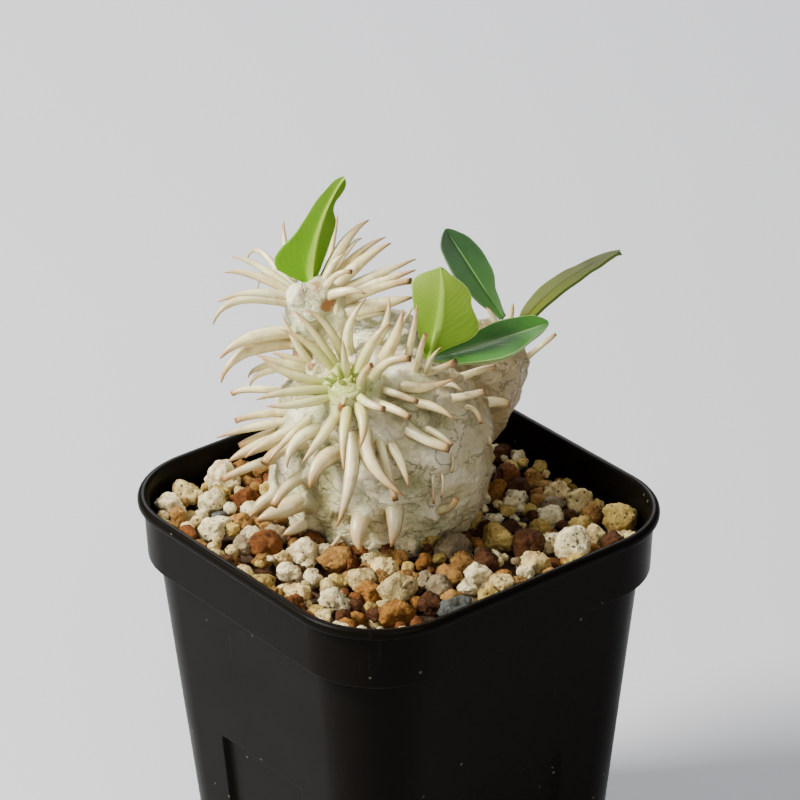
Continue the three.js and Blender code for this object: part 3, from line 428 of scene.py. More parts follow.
# Growing heads: spines on the side that the reference view doesn't show stand in pairs on golden-angle
# spirals. Each head: middle of its dome, axis, radius, bark area of a young pair, pairs, turn and size.
HEADS = [
    ((-8.5, -2.5, 117.4), (0.26, -0.53, 0.81), 13.5, 24, 36, 0.4, 0.95),
    ((-22.4, -2.9, 134.8), (-0.35, -0.1, 0.93), 6, 16, 24, 1.1, 1.1),
    ((-2.2, 7.6, 123.4), (0.35, 0.25, 0.9), 6.6, 20, 7, 2.0, 0.7),
    ((-10.6, 34.5, 117.5), (0.15, 0.45, 0.88), 10.5, 28, 8, 0.2, 0.55),
    ((-11.5, 4, 112), (0, 0, 1), 23, 58, 52, 0.9, 0.82),
]
FLANK = len(HEADS) - 1
HEAD_BEND = {"lead": 0.35, "young": 0.8, "old": 0.3, "splay": 0.85, "fall": 0.2}
FLANK_BEND = {"lead": 0.1, "young": 0.4, "old": 0.4, "splay": 0, "fall": 1}
YOUNG_CELL = 0.6
BARK_GROWTH = 1.2
PAIR_CLEARANCE = 3.1
FLANK_CLEARANCE = 6.2
LOWEST_SPINE = 93.5
RAY_START = 80
HEAD_REACH = (0.6, 1.6)
SPIRAL_KEYS = 1000
PAIR_LEAN = (0.25, 0.45)
LENGTH_SPREAD = (0.8, 1.14)
LEAST_GIRTH = 0.3
YOUNG_PACE = 5
YOUNG_SHORTENING = 0.45
YOUNG_THINNING = 0.3
KNEE_AT = 0.5
TIP_REACH = 0.6
END_SWAY = 0.15

# Leaves: ends of the midrib and the point that bends it, the way the upper side looks, fold, share of the
# length that the tip takes to round off, half widths at even steps to left and right as seen from the
# upper side with the tip up, and the finish of either side
LEAVES = {
    "leaf_left_head": {
        "upper": "glossy_dark_leaf", "under": "bright_leaf_underside", "slot": "leaf_bright_green",
        "foot": (-23.6, -4, 142.4), "bend": (-25.9, -1.3, 155.4), "tip": (-24.6, 6.2, 163.4),
        "face": (-0.91, 0.04, -0.41), "fold": 0.45, "tip_length": 0.1,
        "left": (1.2, 3, 3.9, 4.7, 5.2, 5.4, 5.2, 4.4, 2.3, 1.7, 2.1, 2, 1.6),
        "right": (1, 6.8, 7.9, 6.8, 5.2, 4.1, 3.4, 2.9, 2.5, 2.1, 1.7, 1.3, 0.9),
    },
    "leaf_round": {
        "upper": "glossy_dark_leaf", "under": "light_leaf_underside", "slot": "leaf_light_green",
        "foot": (1, 7.7, 130.4), "bend": (1.4, 12.3, 141.7), "tip": (-1.9, 13.7, 148.6),
        "face": (-0.6, 0.62, 0.2), "fold": 0.12, "tip_length": 0.22,
        "left": (0.8, 1.7, 4.2, 6.9, 8.5, 8.4, 7.3, 6.3, 6.1, 5.2, 3.6, 2, 1.4),
        "right": (0.8, 1.6, 3, 3.9, 4.6, 5.2, 5.7, 6.1, 6.3, 6.5, 6.5, 6.6, 6.4),
    },
    "leaf_centre": {
        "upper": "glossy_dark_leaf", "under": "light_leaf_underside", "slot": "leaf_dark_green",
        "foot": (0.5, 9.2, 129.9), "bend": (5, 18.7, 131.2), "tip": (8.7, 33.9, 133.3),
        "face": (0.42, -0.34, 0.84), "fold": 0.2, "tip_length": 0.14,
        "left": (0.8, 1.4, 1.9, 2.3, 2.6, 2.9, 3.3, 3.8, 3.9, 3.7, 3.3, 3, 2.6),
        "right": (0.8, 1.8, 2.7, 3.5, 4, 4.6, 5, 5.2, 4.9, 3.9, 2.9, 2.1, 1.4),
    },
    "leaf_back": {
        "upper": "dark_leaf", "under": "light_leaf_underside", "slot": "leaf_dark_green",
        "foot": (-10.1, 37.2, 126.2), "bend": (-17.3, 37.1, 131.7), "tip": (-25.3, 34, 142.6),
        "face": (0.62, -0.5, 0.6), "fold": 0.2, "tip_length": 0.14,
        "left": (0.8, 1.1, 1.8, 2.5, 3, 3.4, 3.8, 4.1, 4.1, 3.9, 3.6, 3.2, 2.4),
        "right": (0.8, 1, 1.4, 1.8, 2.2, 3.2, 3.8, 4, 4.1, 3.9, 3.4, 2.5, 1.8),
    },
    "leaf_right": {
        "upper": "olive_leaf", "under": "olive_leaf", "slot": "leaf_olive_green",
        "foot": (-6.6, 39.6, 124.9), "bend": (-3.4, 45.5, 134.9), "tip": (5.1, 57, 141.5),
        "face": (0.1, -0.4, 0.91), "fold": 0.16, "tip_length": 0.1,
        "left": (1.2, 2, 2.5, 2.7, 2.9, 2.8, 2.6, 2.4, 1.9, 1.7, 1.5, 1, 0.7),
        "right": (1.2, 1.8, 2.1, 2.2, 2.4, 2.5, 2.4, 2.4, 2.3, 1.9, 1.7, 1, 0.7),
    },
}


# Small helpers

def draw(index, seed):
    """A draw between 0 and 1 that is the same on every run; every use has a seed of its own."""
    wave = math.sin(index * 12.9898 + seed * 78.233) * 43758.5453
    return wave - math.floor(wave)


def spread(index, seed, low, high):
    return low + (high - low) * draw(index, seed)


def lerp(low, high, share):
    return low + (high - low) * share


def catmull_rom(corners, share):
    """A point on the smooth curve between the second and the third of four corners."""
    before, start, end, after = (Vector(corner) for corner in corners)
    return 0.5 * (2 * start + (end - before) * share
                  + (2 * before - 5 * start + 4 * end - after) * share ** 2
                  + (3 * start - before - 3 * end + after) * share ** 3)


def curve_corners(values, start):
    """The four corners of the curve that runs on from the value at a place in a list."""
    last = len(values) - 1
    return [values[min(max(start + offset, 0), last)] for offset in (-1, 0, 1, 2)]


def link(obj):
    bpy.context.scene.collection.objects.link(obj)
    return obj


def mesh_of(name, bm):
    """A mesh made from a bmesh, which is freed."""
    mesh = bpy.data.meshes.new(name)
    bm.to_mesh(mesh)
    bm.free()
    return mesh


def absorb(whole, bm):
    """Moves one bmesh into another; returns the vertices that it brought."""
    start = len(whole.verts)
    mesh = mesh_of("draft", bm)
    whole.from_mesh(mesh)
    bpy.data.meshes.remove(mesh)
    whole.verts.ensure_lookup_table()
    return whole.verts[start:]


def next_ring(bm, ring):
    """Extrudes a ring of edges where it lies; returns the new ring and its vertices."""
    made = bmesh.ops.extrude_edge_only(bm, edges=ring)["geom"]
    ring = [item for item in made if isinstance(item, bmesh.types.BMEdge)]
    return ring, {vert for edge in ring for vert in edge.verts}


def piece(name, bm, materials, node):
    """Turns a bmesh in millimetres into a smooth piece in metres that stands for a node."""
    bm.transform(Matrix.Scale(MM, 4))
    mesh = mesh_of(name, bm)
    mesh.shade_smooth()
    for material in materials:
        mesh.materials.append(material)
    obj = link(bpy.data.objects.new(name, mesh))
    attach(obj, "root")
    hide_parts(node)
    return obj


def soften_edges(obj, angle, width, segments):
    """Bevels the edges that turn by more than an angle in degrees."""
    soften = obj.modifiers.new("soften", "BEVEL")
    soften.limit_method = "ANGLE"
    soften.angle_limit = math.radians(angle)
    soften.width = width * MM
    soften.segments = segments


def baked_mesh(obj):
    """The mesh of an object with its modifiers applied."""
    graph = bpy.context.evaluated_depsgraph_get()
    return bpy.data.meshes.new_from_object(obj.evaluated_get(graph))


# Shader trees

class Shading:
    """Adds nodes to a tree. A value is a number, a colour, a vector or a socket to link from."""

    def __init__(self, tree):
        self.tree = tree

    def feed(self, socket, value):
        if isinstance(value, bpy.types.NodeSocket):
            self.tree.links.new(value, socket)
        elif socket.type == "RGBA":
            socket.default_value = (*value, 1)
        else:
            socket.default_value = value

    def node(self, kind, inputs=None, **settings):
        node = self.tree.nodes.new(kind)
        for name, value in settings.items():
            setattr(node, name, value)
        for name, value in (inputs or {}).items():
            self.feed(node.inputs[name], value)
        return node

    def group(self, group, inputs):
        return self.node("ShaderNodeGroup", inputs, node_tree=group).outputs

    def ramp(self, factor, stops):
        """A grey ramp through (position, value) stops."""
        node = self.node("ShaderNodeValToRGB", {"Fac": factor})
        points = node.color_ramp.elements
        while len(points) < len(stops):
            points.new(0.5)
        for point, (position, value) in zip(points, stops):
            point.position = position
            point.color = (value, value, value, 1)
        return node.outputs["Color"]

    def mix(self, factor, low, high, blend="MIX"):
        """A mix of two colours."""
        node = self.node("ShaderNodeMix", data_type="RGBA", blend_type=blend)
        sockets = {socket.name: socket for socket in node.inputs if socket.enabled}
        for name, value in (("Factor", factor), ("A", low), ("B", high)):
            self.feed(sockets[name], value)
        return next(socket for socket in node.outputs if socket.enabled)

    def maths(self, operation, *values):
        node = self.node("ShaderNodeMath", operation=operation)
        for socket, value in zip(node.inputs, values):
            self.feed(socket, value)
        return node.outputs[0]

    def times(self, first, second):
        return self.maths("MULTIPLY", first, second)

    def plus(self, first, second):
        return self.maths("ADD", first, second)

    def minus(self, first, second):
        return self.maths("SUBTRACT", first, second)

    def noise(self, place, scale, detail=3, roughness=0.5, distortion=0):
        return self.node("ShaderNodeTexNoise", {
            "Vector": place, "Scale": scale, "Detail": detail, "Roughness": roughness,
            "Distortion": distortion,
        }).outputs["Fac"]

    def stretched(self, place, scale):
        return self.node("ShaderNodeMapping", {"Vector": place, "Scale": scale}).outputs["Vector"]

    def split(self, vector):
        return tuple(self.node("ShaderNodeSeparateXYZ", {"Vector": vector}).outputs)

    def channels(self, attribute):
        """Red, green, blue and alpha of a colour attribute."""
        data = self.node("ShaderNodeAttribute", attribute_name=attribute).outputs
        parts = self.node("ShaderNodeSeparateColor", {"Color": data["Color"]}).outputs
        return parts["Red"], parts["Green"], parts["Blue"], data["Alpha"]

    def bump(self, height, strength, distance):
        return self.node("ShaderNodeBump", {
            "Height": height, "Strength": strength, "Distance": distance,
        }).outputs["Normal"]


class Skin(Shading):
    """A material with one Principled shader; place holds object coordinates."""

    def __init__(self, name):
        self.material = bpy.data.materials.new(name)
        self.material.use_nodes = True
        super().__init__(self.material.node_tree)
        self.shader = self.tree.nodes["Principled BSDF"]
        self.place = self.node("ShaderNodeTexCoord").outputs["Object"]

    def specks(self, spacing, size, share):
        return self.group(SPECKS, {
            "Vector": self.place, "Spacing": spacing, "Size": size, "Share": share,
        })["Mask"]

    def mottle(self, first, second, scale, grain):
        return self.group(MOTTLE, {
            "Vector": self.place, "First": first, "Second": second, "Scale": scale, "Grain": grain,
        })

    def finish(self, **inputs):
        """Feeds the shader's sockets by name, with _ for a space; returns the material."""
        for name, value in inputs.items():
            self.feed(self.shader.inputs[name.replace("_", " ")], value)
        return self.material


def new_group(name, inputs, outputs):
    """An empty shader node group; inputs and outputs are socket names with their types."""
    tree = bpy.data.node_groups.new(name, "ShaderNodeTree")
    for label, kind in inputs.items():
        tree.interface.new_socket(label, in_out="INPUT", socket_type=kind)
    for label, kind in outputs.items():
        tree.interface.new_socket(label, in_out="OUTPUT", socket_type=kind)
    entry = tree.nodes.new("NodeGroupInput").outputs
    leave = tree.nodes.new("NodeGroupOutput").inputs
    return tree, Shading(tree), entry, leave


def speck_group():
    """Small round specks at a given spacing: a mask of how much speck a point has."""
    tree, inner, entry, leave = new_group("specks", {
        "Vector": "NodeSocketVector", "Spacing": "NodeSocketFloat", "Size": "NodeSocketFloat",
        "Share": "NodeSocketFloat",
    }, {"Mask": "NodeSocketFloat"})
    cells = inner.node("ShaderNodeTexVoronoi", {"Vector": entry["Vector"], "Scale": entry["Spacing"]})
    inside = inner.maths("LESS_THAN", cells.outputs["Distance"], entry["Size"])
    pick = inner.node("ShaderNodeSeparateColor", {"Color": cells.outputs["Color"]})
    chosen = inner.maths("LESS_THAN", pick.outputs["Red"], entry["Share"])
    inner.feed(leave["Mask"], inner.times(inside, chosen))
    return tree


def mottle_group():
    """Two colours in soft patches, with a fine grain over them."""
    tree, inner, entry, leave = new_group("mottle", {
        "Vector": "NodeSocketVector", "First": "NodeSocketColor", "Second": "NodeSocketColor",
        "Scale": "NodeSocketFloat", "Grain": "NodeSocketFloat",
    }, {"Color": "NodeSocketColor", "Grain Value": "NodeSocketFloat"})
    patches = inner.noise(entry["Vector"], entry["Scale"], 4, 0.55)
    grain = inner.noise(entry["Vector"], entry["Grain"], 3, 0.6)
    both = inner.plus(inner.times(patches, 0.75), inner.times(grain, 0.25))
    share = inner.ramp(both, [(0.38, 0), (0.62, 1)])
    inner.feed(leave["Color"], inner.mix(share, entry["First"], entry["Second"]))
    inner.feed(leave["Grain Value"], grain)
    return tree


SPECKS = speck_group()
MOTTLE = mottle_group()


# Materials

def pot_plastic():
    """Black plastic with a thin film, scuffs that run upwards, dust and lint."""
    skin = Skin("black_pot_plastic")
    cloud = skin.noise(skin.place, 60, 4, 0.6)
    scuffs = skin.noise(skin.stretched(skin.place, (900, 900, 60)), 1, 3, 0.6)
    dust, lint = skin.specks(420, 0.13, 0.07), skin.specks(170, 0.07, 0.08)
    marks = skin.maths("MAXIMUM", dust, lint)
    color = skin.mix(skin.ramp(cloud, [(0.45, 0), (0.8, 0.2)]), POT_COLORS["black"], POT_COLORS["film"])
    scratches = skin.ramp(scuffs, [(0.66, 0), (0.72, 1)])
    color = skin.mix(skin.times(scratches, 0.1), color, POT_COLORS["scuff"])
    color = skin.mix(skin.times(marks, 0.4), color, POT_COLORS["dust"])
    fine = skin.noise(skin.place, 1500, 2, 0.6)
    height = skin.plus(skin.times(fine, 0.5), skin.times(marks, 0.8))
    rough = skin.ramp(cloud, [(0.3, 0.3), (0.75, 0.42)])
    return skin.finish(Base_Color=color, Roughness=rough, Normal=skin.bump(height, 0.1, 0.0001),
                       Specular_IOR_Level=0.032)


def bark_ground(skin, relief):
    """Ivory bark in patches, green in places, with painted shade, tinted green, where the relief is low,
    and paler where it stands proud.
    """
    color = skin.mottle(BARK_COLORS["light"], BARK_COLORS["dull"], 150, 1400)["Color"]
    green = skin.ramp(skin.noise(skin.place, 85, 3, 0.6), [(0.47, 0), (0.62, 0.65)])
    color = skin.mix(green, color, BARK_COLORS["mossy"])
    # Painted shade: darker and greener where the relief is low
    color = skin.mix(skin.ramp(relief, [(0.34, 0.85), (0.52, 0)]), color, BARK_COLORS["hollow_shade_green"])
    return skin.mix(skin.ramp(relief, [(0.58, 0), (0.8, 0.6)]), color, BARK_COLORS["proud"])


def bark_age(skin):
    """How brown the bark has grown: most on the side towards +Y, with a ragged border."""
    x, y, _ = skin.split(skin.place)
    across = skin.plus(skin.times(x, 6), skin.times(y, 30))
    ragged = skin.plus(across, skin.times(skin.noise(skin.place, 60, 3, 0.6), 0.8))
    return skin.ramp(skin.times(ragged, 0.5), [(0.2, 0), (0.52, 0.9)])


def bark_creases(skin):
    """Thin torn lines where a slow noise crosses its middle value."""
    flow = skin.noise(skin.stretched(skin.place, (170, 170, 240)), 1, 4, 0.55, 0.7)
    lines = skin.ramp(skin.maths("ABSOLUTE", skin.minus(flow, 0.5)), [(0, 1), (0.02, 0)])
    torn = skin.ramp(skin.noise(skin.place, 190, 3, 0.6), [(0.38, 0), (0.54, 1)])
    return skin.times(lines, torn)


def bark_skin():
    """Papery bark: red holds the relief, green how near a crown is, blue a spine's foot, alpha a scar."""
    skin = Skin("wrinkled_bark")
    relief, youth, cushion, scar = skin.channels("bark_data")
    creases = bark_creases(skin)
    color = bark_ground(skin, relief)
    color = skin.mix(skin.times(cushion, 0.2), color, BARK_COLORS["cushion"])
    color = skin.mix(bark_age(skin), color, BARK_COLORS["old"])
    color = skin.mix(skin.ramp(youth, [(0.05, 0), (0.65, 0.9)]), color, BARK_COLORS["crown"])
    color = skin.mix(scar, color, BARK_COLORS["scar"])
    # Painted shade in the creases, over the brown of the cracks in the skin
    color = skin.mix(skin.times(creases, 0.5), color, BARK_COLORS["crease"])
    papery = skin.noise(skin.stretched(skin.place, (420, 420, 900)), 1, 4, 0.6, 0.4)
    height = skin.minus(skin.times(papery, 0.7), skin.times(creases, 0.6))
    rough = skin.ramp(relief, [(0.35, 0.48), (0.75, 0.28)])
    return skin.finish(Base_Color=color, Roughness=rough, Normal=skin.bump(height, 0.8, 0.0009))


def spine_horn():
    """Horn: red runs along the spine, green tells how young it is, blue varies, alpha marks broken ends."""
    skin = Skin("spine_horn")
    along, youth, tone, broken = skin.channels("spine_data")
    color = skin.mix(tone, SPINE_COLORS["ivory"], SPINE_COLORS["tan"])
    _, _, level = skin.split(skin.place)
    low_down = skin.ramp(skin.times(level, 5), [(0.52, 0.75), (0.61, 0)])
    color = skin.mix(low_down, color, SPINE_COLORS["weathered"])
    color = skin.mix(skin.ramp(along, [(0.05, 0.55), (0.35, 0)]), color, SPINE_COLORS["foot"])
    streaks = skin.ramp(skin.noise(skin.place, 380, 4, 0.6), [(0.48, 0), (0.66, 0.6)])
    color = skin.mix(streaks, color, SPINE_COLORS["stain"])
    fresh = skin.times(youth, skin.ramp(along, [(0.15, 1), (0.8, 0.2)]))
    color = skin.mix(fresh, color, SPINE_COLORS["young"])
    # Painted shade: the spine turns brown where its surface turns away from the view
    facing = skin.node("ShaderNodeLayerWeight", {"Blend": 0.5}).outputs["Facing"]
    color = skin.mix(skin.ramp(facing, [(0.32, 0), (0.8, 0.85)]), color, SPINE_COLORS["rim"])
    near_point = skin.ramp(along, [(0.5, 0), (0.78, 0.45), (0.96, 0.95)])
    color = skin.mix(near_point, color, SPINE_COLORS["point"])
    stump = skin.times(broken, skin.ramp(along, [(0.96, 0), (1, 1)]))
    color = skin.mix(stump, color, SPINE_COLORS["stump"])
    grain = skin.noise(skin.place, 1300, 3, 0.6)
    return skin.finish(Base_Color=color, Roughness=0.3, Normal=skin.bump(grain, 0.25, 0.00012),
                       Subsurface_Weight=0.1, Subsurface_Scale=0.001, Subsurface_Radius=(1, 0.7, 0.4))


def young_leaf():
    skin = Skin("young_leaf")
    cloud = skin.ramp(skin.noise(skin.place, 500, 3, 0.6), [(0.35, 0), (0.65, 1)])
    return skin.finish(Base_Color=skin.mix(cloud, *BUD_COLORS), Roughness=0.42,
                       Subsurface_Weight=0.1, Subsurface_Scale=0.001)


def leaf_veins(skin, aside, along):
    """Side veins that slant towards the tip, waver a little and fade in and out."""
    slant = skin.minus(along, skin.times(aside, 0.55))
    wobble = skin.times(skin.noise(skin.place, 210, 4), 0.11)
    lines = skin.maths("PINGPONG", skin.plus(slant, wobble), 0.028)
    lines = skin.ramp(skin.times(lines, 36), [(0, 1), (0.4, 0)])
    cells = skin.ramp(skin.noise(skin.place, 620, 3, 0.6), [(0.38, 0), (0.6, 1)])
    return skin.times(lines, skin.plus(skin.times(cells, 0.7), 0.3))


def leaf_skin(name, blade, deep, base, midrib, edge, rib, rough, shine, vein_show, glow):
    """A leaf finish on the blade's own UV map: U runs across and V from stalk to tip."""
    skin = Skin(name)
    across, along, _ = skin.split(skin.node("ShaderNodeUVMap", uv_map="blade").outputs["UV"])
    aside = skin.maths("ABSOLUTE", skin.minus(across, 0.5))
    veins = leaf_veins(skin, aside, along)
    patches = skin.ramp(skin.noise(skin.place, 140, 4, 0.6), [(0.35, 0), (0.68, 1)])
    color = skin.mix(skin.ramp(along, [(0, 1), (0.6, 0)]), skin.mix(patches, blade, deep), base)
    color = skin.mix(skin.times(veins, vein_show), color, midrib)
    rib_width = skin.minus(rib, skin.times(along, rib * RIB_FADE))
    on_rib = skin.ramp(skin.maths("DIVIDE", aside, rib_width), [(0.35, 1), (0.9, 0)])
    color = skin.mix(on_rib, color, midrib)
    color = skin.mix(skin.ramp(aside, [(0.472, 0), (0.49, 0.75)]), color, edge)
    fine = skin.noise(skin.place, 1600, 2, 0.5)
    height = skin.plus(skin.times(veins, 0.5), skin.times(fine, 0.3))
    return skin.finish(Base_Color=color, Roughness=skin.ramp(patches, [(0, rough), (1, rough + 0.1)]),
                       Normal=skin.bump(height, 0.35, 0.0001), Specular_IOR_Level=shine,
                       Subsurface_Weight=glow, Subsurface_Scale=0.0015, Subsurface_Radius=(0.6, 1, 0.1))


def stone_grain(name, pore_depth, grit_share):
    """A crumbly stone in its own tint, with open pores and dark grit."""
    skin = Skin(name)
    tint = skin.node("ShaderNodeAttribute", attribute_name="stone_tint").outputs["Color"]
    patches = skin.noise(skin.place, 420, 5, 0.65)
    shade = skin.mix(skin.ramp(patches, [(0.34, 0), (0.6, 1)]), *STONE_SHADES)
    color = skin.mix(1, tint, shade, "MULTIPLY")
    pores = skin.noise(skin.place, 1150, 4, 0.7)
    pits = skin.times(skin.ramp(pores, [(0.32, 1), (0.43, 0)]), pore_depth)
    color = skin.mix(pits, color, STONE_PORE)
    color = skin.mix(skin.times(skin.specks(900, 0.28, grit_share), 0.85), color, STONE_GRIT)
    height = skin.plus(skin.times(pores, 0.8), skin.times(patches, 0.7))
    return skin.finish(Base_Color=color, Roughness=0.9, Normal=skin.bump(height, 1, 0.001),
                       Specular_IOR_Level=0.2)


def dark_soil():
    skin = Skin("damp_fine_grit")
    ground = skin.mottle(*SOIL_COLORS, 500, 1800)
    normal = skin.bump(ground["Grain Value"], 0.8, 0.0005)
    return skin.finish(Base_Color=ground["Color"], Roughness=0.95, Normal=normal)


def pale_floor():
    skin = Skin("pale_floor")
    color = skin.mix(skin.noise(skin.place, 3, 2), *FLOOR_COLORS)
    return skin.finish(Base_Color=color, Roughness=0.8)


# Camera, light and floor

def add_camera():
    lens = bpy.data.cameras.new("view")
    lens.sensor_width = SENSOR_WIDTH
    lens.lens = VIEW_LENGTH * SENSOR_WIDTH / FRAME_WIDTH
    lens.clip_end = FARTHEST_SEEN
    camera = link(bpy.data.objects.new("view", lens))
    turn = Matrix((VIEW_RIGHT, VIEW_UP, -VIEW_AHEAD)).transposed().to_4x4()
    camera.matrix_world = Matrix.Translation(VIEW_FROM * MM) @ turn
    bpy.context.scene.camera = camera


def add_area_light(name, place, target, size, power, color):
    data = bpy.data.lights.new(name, "AREA")
    data.size = size
    data.energy = power
    data.color = color
    light = link(bpy.data.objects.new(name, data))
    light.location = place
    light.rotation_euler = (Vector(target) - Vector(place)).to_track_quat("-Z", "Y").to_euler()


def add_studio():
    world = bpy.data.worlds.new("studio")
    world.use_nodes = True
    background = world.node_tree.nodes["Background"]
    background.inputs["Color"].default_value = (*SKY_COLOR, 1)
    background.inputs["Strength"].default_value = SKY_STRENGTH
    bpy.context.scene.world = world
    for name, light in LIGHTS.items():
        add_area_light(name, **light)
    bm = bmesh.new()
    bmesh.ops.create_grid(bm, x_segments=1, y_segments=1, size=FLOOR_HALF)
    floor = mesh_of("floor", bm)
    floor.materials.append(pale_floor())
    link(bpy.data.objects.new("floor", floor))


# Pot

def pot_columns():
    """Places round the section: along a side, or turned round a corner."""
    columns = []
    edges = (-PANEL_HALF - PANEL_SLOPE, -PANEL_HALF, PANEL_HALF, PANEL_HALF + PANEL_SLOPE)
    for side in range(4):
        for edge, along in enumerate(edges):
            columns.append({"side": side, "along": along, "in_panel": edge in (1, 2)})
        for step in range(CORNER_STEPS + 1):
            columns.append({"side": side, "turn": step / CORNER_STEPS * math.pi / 2})
    return columns


COLUMNS = pot_columns()


def section_point(column, row):
    if "turn" in column:
        centre = row["half"] - row["corner"]
        point = Vector((centre + row["corner"] * math.sin(column["turn"]),
                        -centre - row["corner"] * math.cos(column["turn"]), row["z"]))
    else:
        inset = row["panel"] if column["in_panel"] else 0
        point = Vector((column["along"], inset - row["half"], row["z"]))
    return Matrix.Rotation(column["side"] * math.pi / 2, 3, "Z") @ point


def wall_row(z, inset, panel):
    share = z / STEP_Z
    return {"z": z, "half": lerp(BASE_HALF, SHOULDER_HALF, share) - inset,
            "corner": lerp(BASE_CORNER, SHOULDER_CORNER, share) - inset, "panel": panel}


def collar_row(z, half, inset=0):
    return {"z": z, "half": half - inset, "corner": RIM_CORNER - (RIM_HALF - half) - inset, "panel": 0}


def swept_section(rows):
    """A tube through the rows, closed by a flat cap at both ends."""
    bm = bmesh.new()
    bmesh.ops.create_circle(bm, segments=len(COLUMNS), radius=1)
    bm.verts.ensure_lookup_table()
    number = bm.verts.layers.int.new("column")
    for index, vert in enumerate(bm.verts):
        vert[number] = index
        vert.co = section_point(COLUMNS[index], rows[0])
    ring = first = list(bm.edges)
    for row in rows[1:]:
        ring, verts = next_ring(bm, ring)
        for vert in verts:
            vert.co = section_point(COLUMNS[vert[number]], row)
    bmesh.ops.contextual_create(bm, geom=first)
    bmesh.ops.contextual_create(bm, geom=ring)
    bmesh.ops.recalc_face_normals(bm, faces=bm.faces)
    return bm


def lip_rows():
    """The rolled lip, with rows between those of its profile on a smooth curve."""
    points = [catmull_rom(curve_corners(LIP_PROFILE, start), step / LIP_STEPS)
              for start in range(len(LIP_PROFILE) - 1) for step in range(LIP_STEPS)]
    return [collar_row(POT_HEIGHT - depth, RIM_HALF - inset) for depth, inset in (*points, LIP_PROFILE[-1])]


def make_pot():
    step_inside = STEP_Z + STEP_LIFT
    bm = swept_section([
        wall_row(0, BASE_EDGE, 0),
        wall_row(BASE_EDGE, 0, 0),
        wall_row(PANEL_FOOT - PANEL_SLOPE, 0, 0),
        wall_row(PANEL_FOOT, 0, PANEL_DEPTH),
        wall_row(PANEL_TOP, 0, PANEL_DEPTH),
        wall_row(PANEL_TOP + PANEL_SLOPE, 0, 0),
        wall_row(STEP_Z - STEP_RISE, 0, 0),
        collar_row(STEP_Z + STEP_RISE, COLLAR_FOOT),
        *lip_rows(),
        collar_row(step_inside + STEP_RISE, COLLAR_FOOT, WALL),
        wall_row(step_inside - STEP_RISE, WALL, 0),
        wall_row(PANEL_TOP + PANEL_SLOPE, WALL, 0),
        wall_row(PANEL_TOP, WALL, PANEL_DEPTH),
        wall_row(FLOOR, WALL, PANEL_DEPTH),
    ])
    pot = piece("nursery_pot", bm, [pot_plastic()], "pot")
    cut_drain_holes(pot)
    soften_edges(pot, angle=22, width=0.45, segments=3)
    pot.modifiers.new("flats", "WEIGHTED_NORMAL").keep_sharp = True


def cut_drain_holes(pot):
    bm = bmesh.new()
    for index in range(DRAIN_COUNT):
        turn = index / DRAIN_COUNT * math.tau
        reach = DRAIN_REACH[index % 2]
        place = Matrix.Translation((reach * math.cos(turn), reach * math.sin(turn), 0))
        bmesh.ops.create_cone(bm, cap_ends=True, segments=DRAIN_SIDES, radius1=DRAIN_RADIUS,
                              radius2=DRAIN_RADIUS, depth=FLOOR * 3, matrix=place)
    bm.transform(Matrix.Scale(MM, 4))
    cutter = link(bpy.data.objects.new("drain", mesh_of("drain", bm)))
    cut = pot.modifiers.new("drain", "BOOLEAN")
    cut.operation = "DIFFERENCE"
    cut.solver = "EXACT"
    cut.object = cutter
    holed = baked_mesh(pot)
    pot.modifiers.remove(cut)
    pot.data = holed
    bpy.data.objects.remove(cutter)


# Woody body

def sight(across, down):
    """Direction of the line of sight through a point of the reference view, with a depth of 1."""
    middle = FRAME_WIDTH / 2
    return VIEW_AHEAD + (VIEW_RIGHT * (across - middle) + VIEW_UP * (middle - down)) / VIEW_LENGTH


def seen_point(across, down, depth):
    return VIEW_FROM + sight(across, down) * depth


def seen_spot(bark, place):
    """The point of the body that shows at a place of the reference view."""
    return bark.ray_cast(VIEW_FROM, sight(*place))[0]


def crown_share(point, crown):
    """1 at a growing crown, falling to 0 where its reach ends."""
    return max(0, 1 - (point - crown).length / CROWN_REACH)


def lobe_bmesh(sides):
    """Every lobe as its own closed shell, spun from its profile."""
    whole = bmesh.new()
    for foot, top, radii in LOBES:
        axis = Vector(top) - Vector(foot)
        heights = [axis.length * step / (len(radii) - 1) for step in range(len(radii))]
        profile = [(0, 0), *zip(radii, heights), (0, axis.length + LOBE_CAP * radii[-1])]
        bm = bmesh.new()
        verts = [bm.verts.new((radius, 0, height)) for radius, height in profile]
        edges = [bm.edges.new(pair) for pair in zip(verts, verts[1:])]
        bmesh.ops.spin(bm, geom=verts + edges, axis=UP, cent=(0, 0, 0), angle=math.tau, steps=sides,
                       use_merge=True)
        bmesh.ops.remove_doubles(bm, verts=bm.verts, dist=0.001)
        bmesh.ops.recalc_face_normals(bm, faces=bm.faces)
        turn = UP.rotation_difference(axis).to_matrix().to_4x4()
        bm.transform(Matrix.Translation(foot) @ turn)
        absorb(whole, bm)
    return whole


def fused_body():
    """The lobes as one closed skin, blended where they meet."""
    draft = link(bpy.data.objects.new("draft", mesh_of("draft", lobe_bmesh(LOBE_SIDES))))
    fuse = draft.modifiers.new("fuse", "REMESH")
    fuse.mode = "VOXEL"
    fuse.voxel_size = BARK_VOXEL
    blend = draft.modifiers.new("blend", "SMOOTH")
    blend.factor = 0.5
    blend.iterations = BARK_BLENDING
    bm = bmesh.new()
    bm.from_mesh(baked_mesh(draft))
    bpy.data.objects.remove(draft)
    return bm


def groove_depth(point, warp, groove):
    """Depth of a net of grooves at a point, bent out of true by a warp."""
    place = Vector((point.x / groove["width"], point.y / groove["width"], point.z / groove["height"]))
    wave = noise.noise(place + warp * groove["warp"])
    return max(0, 1 - abs(wave) * groove["sharpness"]) ** 2 * groove["depth"]


